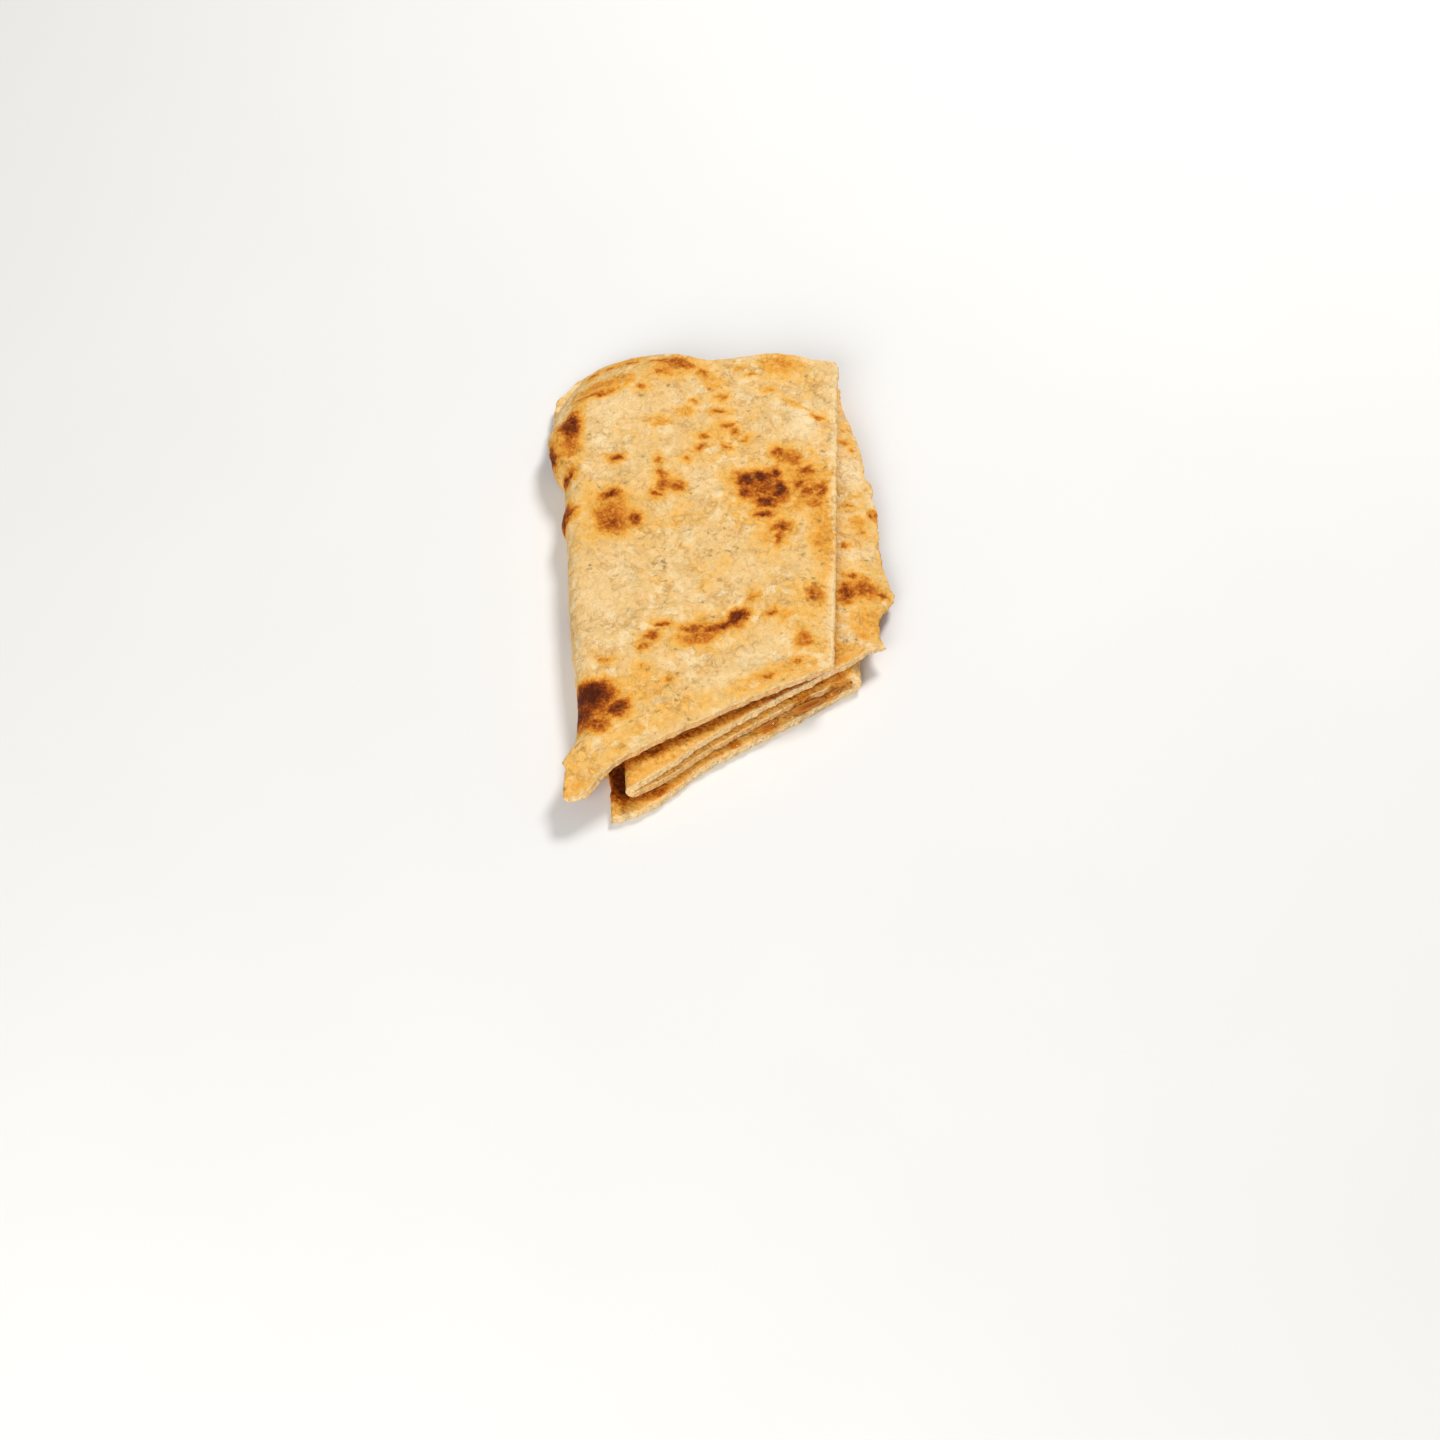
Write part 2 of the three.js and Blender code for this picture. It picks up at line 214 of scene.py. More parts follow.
def follow(points, at):
    """Smooth curve through (position, value) pairs, level beyond both ends."""
    knots, values = np.array(points, float).T
    at = np.clip(at, knots[0], knots[-1])
    last = len(knots) - 1
    here = np.arange(last + 1)
    before, after = np.maximum(here - 1, 0), np.minimum(here + 1, last)
    slopes = (values[after] - values[before]) / (knots[after] - knots[before])
    i = np.clip(np.searchsorted(knots, at, side="right") - 1, 0, last - 1)
    span = knots[i + 1] - knots[i]
    t = (at - knots[i]) / span
    rise = values[i + 1] - values[i]
    start = slopes[i] * span
    end = slopes[i + 1] * span
    bend = 3 * rise - 2 * start - end + t * (start + end - 2 * rise)
    return values[i] + t * (start + t * bend)


def waves(table, x, y):
    return sum(
        height * np.sin(2 * pi * (x / along_x + y / along_y) + shift)
        for height, along_x, along_y, shift in table
    )


# Form of the folded sheet


def closed(y):
    """How far the left fold is closed, from 0 to 1."""
    return ease(*FOLD_OPENS_FRONT, y) * (1 - ease(*FOLD_OPENS_FAR, y))


def cover_left(y):
    return follow(LEFT_SIDE, y) + FOLD_REACH


def base_left(y):
    return mix(BASE_CORNER_X, cover_left(y), ease(*BASE_CORNER_SPAN, y))


def cover_height(x, y):
    beyond = np.maximum(0, y - follow(STACK_END, x)) / DRAPE_LENGTH
    drape = DRAPE_DROP * np.minimum(1, beyond) ** DRAPE_BEND
    tip = TIP_DROP * (1 - ease(0, TIP_REACH, np.hypot(x, y - TIP_CENTRE_Y)))
    settle = COVER_SETTLE * ease(*SETTLE_SPAN, x)
    height = COVER_HEIGHT - settle - tip - drape + waves(COVER_WAVES, x, y)
    return np.maximum(DRAPE_FLOOR, height)


def tongue_height(x, y):
    over = np.maximum(0, x - RIGHT_FOLD_X) / TONGUE_SAG_SPAN
    return TONGUE_HEIGHT + waves(TONGUE_WAVES, x, y) - TONGUE_SAG * over * over


def turn(x, from_z, to_z, reach, share):
    """Half turn of the sheet from one leaf to the one above it."""
    angle = pi * share
    return x + reach * np.sin(angle), mix(from_z, to_z, (1 - np.cos(angle)) / 2)


def place_cover(share, y):
    x = mix(follow(COVER_RIM, y), cover_left(y), share)
    return x, cover_height(x, y)


def place_left_fold(share, y):
    """The upper half carries on as a loose lip wherever the fold is open."""
    shut = closed(y)
    across = np.sin(pi * share)
    top = cover_left(y)
    lip = top - FOLD_REACH + COVER_THICKNESS / 2 * shut
    loose = cover_height(top - FOLD_REACH * across, y)
    rolled = mix(BASE_HEIGHT, cover_height(top, y), (1 + np.cos(pi * share)) / 2)
    bare = mix(cover_height(top - FOLD_REACH, y), BASE_HEIGHT, 2 * share - 1)
    upper = share <= 0.5
    x = np.where(upper, mix(top, lip, across), mix(base_left(y), lip, across))
    z = np.where(upper, mix(loose, rolled, shut), mix(bare, rolled, shut))
    return x, z


def place_base(share, y):
    return mix(base_left(y), RIGHT_FOLD_X, share), BASE_HEIGHT + 0 * y


def place_right_fold(share, y):
    reach = (INNER_HEIGHT - BASE_HEIGHT) / 2
    return turn(RIGHT_FOLD_X, BASE_HEIGHT, INNER_HEIGHT, reach, share)


def place_inner(share, y):
    return mix(RIGHT_FOLD_X, TONGUE_FOLD_X, share) + 0 * y, INNER_HEIGHT + 0 * y


def place_tongue_fold(share, y):
    reach = -(TONGUE_HEIGHT - INNER_HEIGHT) / 2
    return turn(TONGUE_FOLD_X, INNER_HEIGHT, tongue_height(TONGUE_FOLD_X, y), reach, share)


def place_tongue(share, y):
    x = mix(TONGUE_FOLD_X, follow(TORN_EDGE, y), share)
    return x, tongue_height(x, y)


def ramp(cells):
    """Shares from 0 to 1, closer together at the start."""
    return (np.arange(cells + 1) / cells) ** CROWDING


def crowd_start(cells):
    rim = RIM_SHARE * ramp(RIM_COLUMNS)
    return np.concatenate([rim[:-1], np.linspace(RIM_SHARE, 1, cells - RIM_COLUMNS + 1)])


def even(cells):
    return np.linspace(0, 1, cells + 1)


# One stretch of the sheet: a leaf with a cut and a far end, or a fold between two leaves
Section = namedtuple("Section", "shares thickness place cut end setback", defaults=(None, None, 0))
COVER, LEFT_FOLD, BASE, RIGHT_FOLD, INNER, TONGUE_FOLD, TONGUE = range(7)
SHEET = [
    Section(crowd_start(COVER_COLUMNS), COVER_THICKNESS, place_cover, COVER_CUT, COVER_END),
    Section(even(FOLD_COLUMNS), COVER_THICKNESS, place_left_fold),
    Section(crowd_start(BASE_COLUMNS), BASE_THICKNESS, place_base, BASE_CUT, STACK_END),
    Section(even(TURN_COLUMNS), INNER_THICKNESS, place_right_fold),
    Section(even(INNER_COLUMNS), INNER_THICKNESS, place_inner, INNER_CUT, STACK_END, INNER_SETBACK),
    Section(even(TURN_COLUMNS), INNER_THICKNESS, place_tongue_fold),
    Section(
        1 - crowd_start(TONGUE_COLUMNS)[::-1], TONGUE_THICKNESS, place_tongue,
        TONGUE_CUT, STACK_END, TONGUE_SETBACK,
    ),
]


def lay_columns():
    """Section of each column and share across it."""
    shares = [section.shares if section.cut else section.shares[1:-1] for section in SHEET]
    return np.repeat(range(len(SHEET)), list(map(len, shares))), np.concatenate(shares)


def lay_rows():
    front = FRONT_SHARE * ramp(FRONT_ROWS)
    far = 1 - (1 - FAR_SHARE) * ramp(FAR_ROWS)[::-1]
    between = np.linspace(FRONT_SHARE, FAR_SHARE, MIDDLE_ROWS + 1)
    return np.concatenate([front[:-1], between[:-1], far])


def limits(index, share, x):
    """Y limits of a section at X; a fold blends those of its neighbours."""
    section = SHEET[index]
    if section.cut:
        return follow(section.cut, x), follow(section.end, x) - section.setback
    blend = ease(0.5, 1, share) if index == LEFT_FOLD else share
    return [mix(*pair, blend) for pair in zip(limits(index - 1, 1, x), limits(index + 1, 0, x))]


def middle(index, share, row):
    """Middle of the sheet at column shares and row shares, as points and Y limits."""
    y = mix(COVER_CUT[0][1], COVER_END[0][1], row) + 0 * share
    x, z = SHEET[index].place(share, y)
    for _ in range(SOLVE_PASSES):
        front, far = limits(index, share, x)
        y = mix(front, far, row)
        x, z = SHEET[index].place(share, y)
    front, far = limits(index, share, x)
    return np.stack(np.broadcast_arrays(x, y, z), -1), y - front, far - y


# Noise and relief

NOISE_SIZE = 64
NOISE_GRID = (NOISE_SIZE, NOISE_SIZE)
NOISE_TURN = 1.3
# Layers of noise, as height, size of a cell and seed
CRUST_SWELLS = [(0.1, 8, 1), (0.09, 3.6, 2), (0.05, 1.8, 3)]
SCATTER_SWELLS = [(1, 13, 21), (0.45, 5, 22), (0.25, 2.4, 23)]
VEIL_SWELLS = [(1, 6.5, 25), (0.5, 2.7, 26)]
WARP_X = [(0.8, 3.1, 41), (0.5, 1.2, 42)]
WARP_Y = [(0.8, 3.1, 43), (0.5, 1.2, 44)]
SOAK_WOBBLE = [(0.3, 2.3, 61), (0.15, 0.9, 62)]
# Noises, as size of a cell and seed
NICKS = (1.7, 31)
FINE_NICKS = (0.7, 32)
FAR_WAVES = (9, 35)
OUTER_BITES = (1.2, 33)
INNER_BITES = (1.2, 34)
PORES = (0.9, 51)
# Blisters and grain, as height, size of a cell, seed and share of the cells
CRUST_DOMES = [(0.25, 3.4, 4, 0.45), (0.14, 1.9, 5, 0.5)]
CRUST_SINK = 0.2
# Other domes, as size of a cell, seed and share of the cells
SCATTER_DOMES = (9, 24, 0.5)
CRUMB_HOLES = (1.8, 52, 0.5)


def noise(u, v, cell, seed):
    """Smooth noise between -1 and 1, with one swell in each cell."""
    table = np.random.default_rng(seed).random(NOISE_GRID)
    a, b = turned(u, v, seed * NOISE_TURN)
    a, b = a / cell, b / cell
    i, j = np.floor(a).astype(int), np.floor(b).astype(int)
    p, q = ease(0, 1, a - i), ease(0, 1, b - j)

    def corner(di, dj):
        return table[(i + di) % NOISE_SIZE, (j + dj) % NOISE_SIZE]

    near = mix(corner(0, 0), corner(1, 0), p)
    far = mix(corner(0, 1), corner(1, 1), p)
    return 2 * mix(near, far, q) - 1


def positive(u, v, cell, seed):
    """The same noise between 0 and 1."""
    return 0.5 + 0.5 * noise(u, v, cell, seed)


def swells(u, v, layers):
    return sum(height * noise(u, v, cell, seed) for height, cell, seed in layers)


def domes(u, v, cell, seed, share):
    """Rounded bumps between 0 and 1, one in that share of the cells."""
    rng = np.random.default_rng(seed)
    at_u, at_v = rng.uniform(0.1, 0.9, (2, *NOISE_GRID))
    radius = rng.uniform(0.3, 0.75, NOISE_GRID)
    height = rng.uniform(0.35, 1, NOISE_GRID)
    height *= rng.random(NOISE_GRID) < share
    a, b = u / cell, v / cell
    i, j = np.floor(a).astype(int), np.floor(b).astype(int)
    best = np.zeros(np.broadcast(a, b).shape)
    for di in (-1, 0, 1):
        for dj in (-1, 0, 1):
            at = (i + di) % NOISE_SIZE, (j + dj) % NOISE_SIZE
            away = np.hypot(a - (i + di) - at_u[at], b - (j + dj) - at_v[at]) / radius[at]
            best = np.maximum(best, height[at] * (1 - ease(0.25, 1, away)))
    return best


# Browning. Each spot is X, Y, half width, half length and level, then its turn in degrees
# if it has one. Levels: 0 pale dough, 0.3 golden, 0.5 orange, 1 charred.
COVER_SPOTS = [
    (2.8, 120.4, 3, 6.4, 0.86, -12), (2.4, 115.5, 4, 9.4, 0.52, -6), (-1.9, 111.8, 1.4, 6, 0.84),
    (2.4, 104.2, 1.2, 3.8, 0.74, -16), (1.7, 91.2, 1.5, 5.2, 0.78, -10), (14.5, 108.5, 2.7, 1.7, 0.7),
    (12.4, 96.2, 3.8, 2.1, 0.78), (12.6, 89.8, 7.2, 4.4, 0.44, 8), (12.8, 86.2, 5.8, 5.5, 0.52, -20),
    (13.2, 85.6, 2.2, 3.8, 0.6, -20), (18.7, 87.7, 2.3, 2.5, 0.72), (25.2, 107.2, 1.5, 2.8, 0.46),
    (26, 101.6, 2.2, 4, 0.52, 8), (30, 97.9, 3, 2.2, 0.6), (27, 98.6, 3.4, 2.6, 0.52, 10),
    (24.5, 95.4, 1.9, 1.6, 0.76), (21.6, 133.2, 1.7, 1.5, 0.55), (52.3, 96.6, 8, 6.8, 0.56),
    (48, 99.4, 3.9, 3.6, 0.86), (51.8, 100.6, 5, 2.2, 0.82, -8), (55.6, 100.8, 2.3, 2.4, 0.82),
    (57, 95.7, 2.4, 5, 0.82), (53, 91.9, 5, 2, 0.78, 6), (47.6, 95.6, 1.9, 3, 0.72, 10),
    (52.3, 87.8, 3.2, 2.2, 0.72), (56.4, 83.2, 4.4, 3, 0.64), (56, 79, 1.8, 3.6, 0.56),
    (62.3, 97.8, 2, 2, 0.6, 30), (64.4, 94.4, 2.3, 2, 0.6), (68, 95.1, 2.8, 3.6, 0.5),
    (66, 90.6, 3.2, 2.8, 0.44), (63.8, 101.8, 3.2, 1.6, 0.56, 4), (59.3, 107, 5.2, 4, 0.44),
    (57, 108.4, 2.6, 2.8, 0.56), (61.6, 105.2, 1.5, 2.2, 0.56), (44.4, 54.4, 4.2, 2.5, 0.92, 28),
    (40.6, 52.2, 3.4, 1.8, 0.8, 20), (37, 51, 3.4, 1.8, 0.68, 4), (32.6, 51.6, 4, 1.8, 0.62),
    (25.1, 53, 3.2, 1.3, 0.62, 2), (22.5, 49, 2.5, 1.7, 0.6, 32), (20.4, 45.8, 2, 1.3, 0.56, 20),
    (34.5, 48.6, 8.4, 3, 0.48, 8), (48.9, 60, 3.8, 2.2, 0.38, 38), (53.4, 54.4, 2, 1.8, 0.58),
    (56.2, 53.8, 3.6, 2.4, 0.32), (64.1, 60.5, 3.8, 4.6, 0.48), (63.8, 59.8, 1.8, 2.2, 0.62),
    (60.8, 46.9, 3.2, 3.6, 0.47), (58.9, 38.9, 2.4, 1.7, 0.46), (50.6, 35.6, 2.6, 1.1, 0.56),
    (7.8, 32, 6.8, 5.6, 1.04), (4.6, 27.4, 3.4, 4.8, 0.88), (13.8, 27.4, 3.4, 4.6, 0.8, -38),
    (9.4, 28, 6.6, 6, 0.56), (6, 26.6, 4.2, 4.4, 0.84), (8, 22.8, 5.6, 4, 0.62), (8.7, 29.2, 7.6, 9.8, 0.4),
    (37.7, 115.4, 1.8, 1.6, 0.54), (36, 111.2, 1.5, 1.1, 0.58), (33.2, 107.1, 1.3, 1.2, 0.52),
    (43.2, 128, 2.6, 1.1, 0.48, 8), (42.8, 123.2, 3.1, 1.2, 0.56, 8), (44.4, 118.6, 4.2, 1.2, 0.54, 6),
    (45.8, 116.2, 1.8, 1.8, 0.52), (49, 113.8, 2, 1.3, 0.46, 20), (43.6, 111.4, 2.8, 1.5, 0.48),
    (30.6, 141.6, 6, 2.6, 0.5, -8), (33.4, 140.2, 3.4, 2, 0.52), (26.4, 138.8, 2.2, 1.6, 0.52),
    (27, 143.4, 2.8, 1.2, 0.54), (38.4, 137.6, 3.2, 2.4, 0.42, -30), (68.4, 119.6, 2.5, 1.6, 0.54, -30),
    (55.6, 130, 3.2, 1.5, 0.38), (50.7, 135.2, 2.8, 1.1, 0.4, -12), (47.9, 138.6, 1.6, 1.2, 0.38),
    (35.6, 127.4, 1.8, 1, 0.4), (26.7, 35.2, 1.8, 1.1, 0.44), (10.4, 42, 2.8, 1.1, 0.42, 8),
    (19.6, 39.6, 2.2, 1.6, 0.3), (29.8, 85.4, 2.2, 4.4, 0.27), (13.2, 144.4, 2.6, 1.2, 0.54, 20),
    (8.4, 142.6, 2.4, 1.5, 0.5, 30), (19, 145.2, 2.4, 1.2, 0.42), (35.5, 65.5, 1.4, 1.4, 0.26),
    (9.5, 131.4, 8.5, 0.8, 0.5, 22),
]
# Broad golden areas of the cover, as the spots above
COVER_GOLD = [
    (4.4, 9, 8, 10, 0.17), (67.6, 84, 4.4, 26, 0.3), (58.5, 139.2, 8, 5.6, 0.31),
    (11.3, 135.2, 11, 3.6, 0.38, 22), (5, 129.6, 2.4, 4.4, 0.36, -20), (64.9, 132.5, 4, 7.5, 0.14),
    (31, 140.5, 11, 6, 0.28), (40.6, 134, 3.6, 6.5, 0.28, 20), (33.5, 124.8, 4, 2.4, 0.3, 10),
    (26.2, 121.4, 5, 3, 0.3), (42, 113, 9, 8, 0.15), (62.5, 98, 11, 12, 0.31), (21, 32, 4.6, 4.6, 0.22),
    (61, 46, 9, 17, 0.11), (24, 24, 22, 5, 0.18, 27), (52, 36, 16, 4, 0.24, 25),
    (16, 146, 12, 3.6, 0.3, 20), (54, 81, 7, 11, 0.18), (36, 50, 17, 7, 0.16, 10), (52, 96, 13, 12, 0.26),
    (12.6, 90, 9, 10, 0.29), (27, 101, 6, 7, 0.14), (64, 60, 7, 8, 0.16), (20, 35, 8, 6, 0.2, 30),
    (60.4, 38.9, 5.5, 5, 0.26), (50, 86, 8, 6, 0.2), (64, 123.4, 8, 1.2, 0.27, -36), (20, 88, 7, 12, 0.1),
]
# Pale smooth places of the cover, with the level as paleness
COVER_PALE = [
    (64.6, 118.6, 5.4, 7.4, 0.95, -6), (37.4, 98.9, 5.4, 6, 0.5), (32.7, 79.6, 2.2, 2, 0.8),
    (28, 68.4, 2.2, 2, 0.7), (38, 34, 6, 3.4, 0.5, 20), (55, 44, 5, 6, 0.5), (1, 128, 2.4, 7, 0.7),
    (14, 126, 9, 6, 0.35, 20), (9, 60, 5, 14, 0.3), (48, 41.5, 6, 4, 0.6, 20), (11.6, 114.6, 5.2, 6.4, 0.5),
    (15.6, 72, 5, 6, 0.4),
]
# Places where grey flour specks stand close together
COVER_DUST = [
    (41, 82, 11, 9, 1), (27, 80, 6, 8, 0.8), (60, 66, 5, 7, 0.5), (22, 78, 14, 26, 0.35),
    (64.5, 131, 5, 8, 1), (16, 148, 9, 3, 0.7), (28, 30, 12, 6, 0.5, 27), (52, 115, 14, 10, 0.3),
    (12, 122, 8, 6, 0.5), (40, 64, 14, 8, 0.4),
]
# The torn strip of the tongue that shows past the cover rim
STRIP_SPOTS = [
    (72, 63.6, 2.2, 4.8, 0.72), (76.6, 64.6, 6, 5.2, 0.58), (74, 68.8, 2.6, 2, 0.6),
    (81, 63.6, 2.6, 1.6, 0.66), (73.4, 78.8, 1.7, 1.9, 0.56), (77.9, 83.3, 1.3, 1.2, 0.56),
    (80.9, 90, 0.9, 0.9, 0.84), (74.5, 91.6, 3, 0.8, 0.46, -8), (76.6, 87, 3.6, 3.4, 0.38),
    (76, 96, 2.6, 0.9, 0.36), (75, 117.6, 2.4, 0.8, 0.4), (75.4, 113.6, 2.6, 1.1, 0.42),
    (76.3, 111.8, 0.7, 0.8, 0.5), (75.6, 49.4, 1.8, 2, 0.4), (71, 46, 4, 3, 0.3), (77, 54, 8, 9, 0.31),
    (74, 42, 7, 5, 0.34),
]
STRIP_PALE = [
    (75, 75.5, 3, 3, 0.7), (71, 52.4, 1.8, 1.9, 0.6), (79.4, 78, 2.6, 4, 0.5), (76, 104, 4, 9, 0.9),
    (80.6, 95, 2, 6, 0.7),
]
# Underlying browning of each face
COVER_GROUND = 0.03
STRIP_GROUND = 0.14
TONGUE_FRONT_GROUND = 0.27
BASE_TOP_GROUND = 0.26
INNER_TOP_GROUND = 0.42
INNER_FRONT_GROUND = 0.2
UNDER_COVER_GROUND = 0.42
UNDERSIDE_GROUND = 0.1
# Browning of the steps at the cut; on the front of the base it is char and browning with painted shade,
# darkest under the cover's left tip and the tongue
TONGUE_FRONT_SPOTS = [
    (21.6, 16.8, 6, 3.4, 0.5), (31, 22, 7, 2.4, 0.36, 30), (50, 33, 12, 2.4, 0.34, 30),
]
BASE_FRONT_CHAR_AND_SHADE = [
    (14, 12, 4.5, 8, 1.05), (20, 9, 9, 4.4, 0.6, 20), (33, 18, 9, 3, 0.38, 35),
]
# Painted highlight: a pale line along the raised rim of the cover, as its level, then the distance of the
# line from the rim and its width
RIM_HIGHLIGHT = 0.7
RIM_HIGHLIGHT_SPAN = (0.8, 1.3)
COVER_CRUMB = 0.55
INNER_CRUMB = 0.45
EDGE_CRUMB = 0.6
STEP_CRUMB = 2
CRUMB_REACH = 0.5
# Painted shade on the tongue top just under the cover's cut edge
PAINTED_SHADE_UNDER_COVER = 0.25
HALO_LEVEL = 0.5
HALO_WIDTH = 1.5
HALO_FADE = (0.35, 1.3)
# Spans over which the browning changes: from the cut, where the inner leaf turns browner and shows a line
# of painted shade under the tongue's edge, past the cover's cut, where painted shade sets in on the tongue,
# and in X
INNER_FADE_INTO_SHADE = (1, 4)
SHADE_SPAN = (-2.2, 0.6)
STRIP_SPAN = (66, 71)


def soft_spots(spots, x, y, core=0.15, fade=1.4, halo=0):
    """The strongest soft elliptical spot at each point, with a wider weak halo."""
    level = np.zeros(x.shape)
    for at_x, at_y, wide, long, strength, *degrees in spots:
        along, across = turned(x - at_x, y - at_y, radians(sum(degrees)))
        away = np.hypot(along / wide, across / long)
        level = np.maximum(level, strength * (1 - ease(core, fade, away)))
        if halo:
            away = np.hypot(along / (wide + HALO_WIDTH), across / (long + HALO_WIDTH))
            level = np.maximum(level, halo * strength * (1 - ease(*HALO_FADE, away)))
    return level


def leopard(u, v):
    """Scattered browning of a baked face."""
    broad = ease(0.25, 1.05, swells(u, v, SCATTER_SWELLS))
    return 0.75 * broad + 0.3 * domes(u, v, *SCATTER_DOMES)


class Sheet:
    """Grid of points of the folded sheet, with what is known at each of them."""

    def __init__(self):
        self.index, self.share = lay_columns()
        rows = lay_rows()
        parts = [middle(i, self.share[self.index == i][:, None], rows) for i in range(len(SHEET))]
        self.points, self.from_cut, self.from_end = map(np.concatenate, zip(*parts))
        self.section = np.broadcast_to(self.index[:, None], self.from_cut.shape)
        self.shares = np.broadcast_to(self.share[:, None], self.from_cut.shape)
        x, y = self.points[..., 0], self.points[..., 1]
        self.plan = x.copy(), y.copy()
        steps = np.linalg.norm(np.diff(self.points[:, len(rows) // 2], axis=0), axis=1)
        self.run = np.concatenate([[0], np.cumsum(steps)])[:, None] + 0 * y
        self.from_rim = follow(COVER_RIM, y) - x
        self.from_side = self.side_distance(x, y)
        self.from_edge = np.minimum(self.from_side, np.minimum(self.from_cut, self.from_end))
        self.outward = self.normals(y)
        self.ragged()

    def side_distance(self, x, y):
        """Distance in from the nearest free side edge of the sheet."""
        shut = closed(y) * FAR_AWAY
        lip = x - (cover_left(y) - FOLD_REACH) + shut
        in_lip = (self.section == LEFT_FOLD) & (self.shares <= 0.5)
        return np.maximum(0, np.select(
            [self.section == COVER, in_lip, self.section == BASE, self.section == TONGUE],
            [np.minimum(self.from_rim, lip), lip, x - base_left(y) + shut, follow(TORN_EDGE, y) - x],
            FAR_AWAY,
        ))

    def normals(self, y):
        along = np.gradient(self.points, axis=1)
        across = np.gradient(self.points, axis=0)
        lip = np.flatnonzero((self.index == LEFT_FOLD) & (self.share == 0.5))[0]
        backward = self.points[lip] - self.points[lip - 1]
        shut = closed(y[lip])[:, None]
        across[lip] = mix(backward, across[lip], shut)
        outward = np.cross(along, across)
        outward /= np.linalg.norm(outward, axis=-1, keepdims=True)
        outward[self.index == BASE] = (0, 0, -1)
        return outward

    def ragged(self):
        """Small nicks in every free edge, always inwards."""
        run, y = self.run, self.plan[1]
        nick, fine = positive(run, y, *NICKS), positive(run, y, *FINE_NICKS)

        def nicks(distance, large, small, reach):
            return (large * nick + small * fine) * np.exp(-distance / reach)

        in_cover = self.section == COVER
        cut = nicks(self.from_cut, *CUT_NICKS) * np.where(in_cover, 1, LOWER_ROUGHNESS)
        wave = FAR_WAVE_HEIGHT * positive(run, y, *FAR_WAVES) * np.exp(-self.from_end / FAR_WAVE_REACH)
        rim = nicks(self.from_end, *RIM_NICKS) + np.where(in_cover, 0, wave)
        self.points[..., 1] += cut - rim
        is_tear = self.section == TONGUE
        side, tear = nicks(self.from_side, *SIDE_NICKS), nicks(self.from_side, *TEAR_NICKS)
        side = np.where(is_tear, tear, side)
        to_left = in_cover & (self.shares < 0.5) | is_tear
        self.points[..., 0] += np.where(to_left, -side, side)


def rounded(distance, reach, remains):
    """Share of the thickness that is left at a distance from an edge."""
    inward = 1 - np.clip(distance / reach, 0, 1)
    return remains + (1 - remains) * np.sqrt(1 - inward * inward)


def half_thickness(sheet):
    x, y = sheet.plan
    half = np.array([section.thickness / 2 for section in SHEET])[sheet.section]
    from_rim = np.minimum(sheet.from_rim, follow(COVER_END, x) - y)
    thin_rim = RIM_THINNING / 2 * (1 - ease(0, RIM_WIDTH, from_rim))
    thin_tear = RIM_THINNING * (1 - ease(0, RIM_WIDTH, sheet.from_side))
    half -= thin_rim * (sheet.section == COVER) + thin_tear * (sheet.section == TONGUE)
    half *= rounded(sheet.from_cut, *CUT_ROUNDING) * rounded(sheet.from_end, *RIM_ROUNDING)
    return half * rounded(sheet.from_side, *RIM_ROUNDING)


def crust_relief(u, v):
    """Uneven crust: soft swells, pancake blisters and grain, about zero on average."""
    blisters = sum(height * domes(u, v, *how) for height, *how in CRUST_DOMES)
    return swells(u, v, CRUST_SWELLS) + blisters - CRUST_SINK


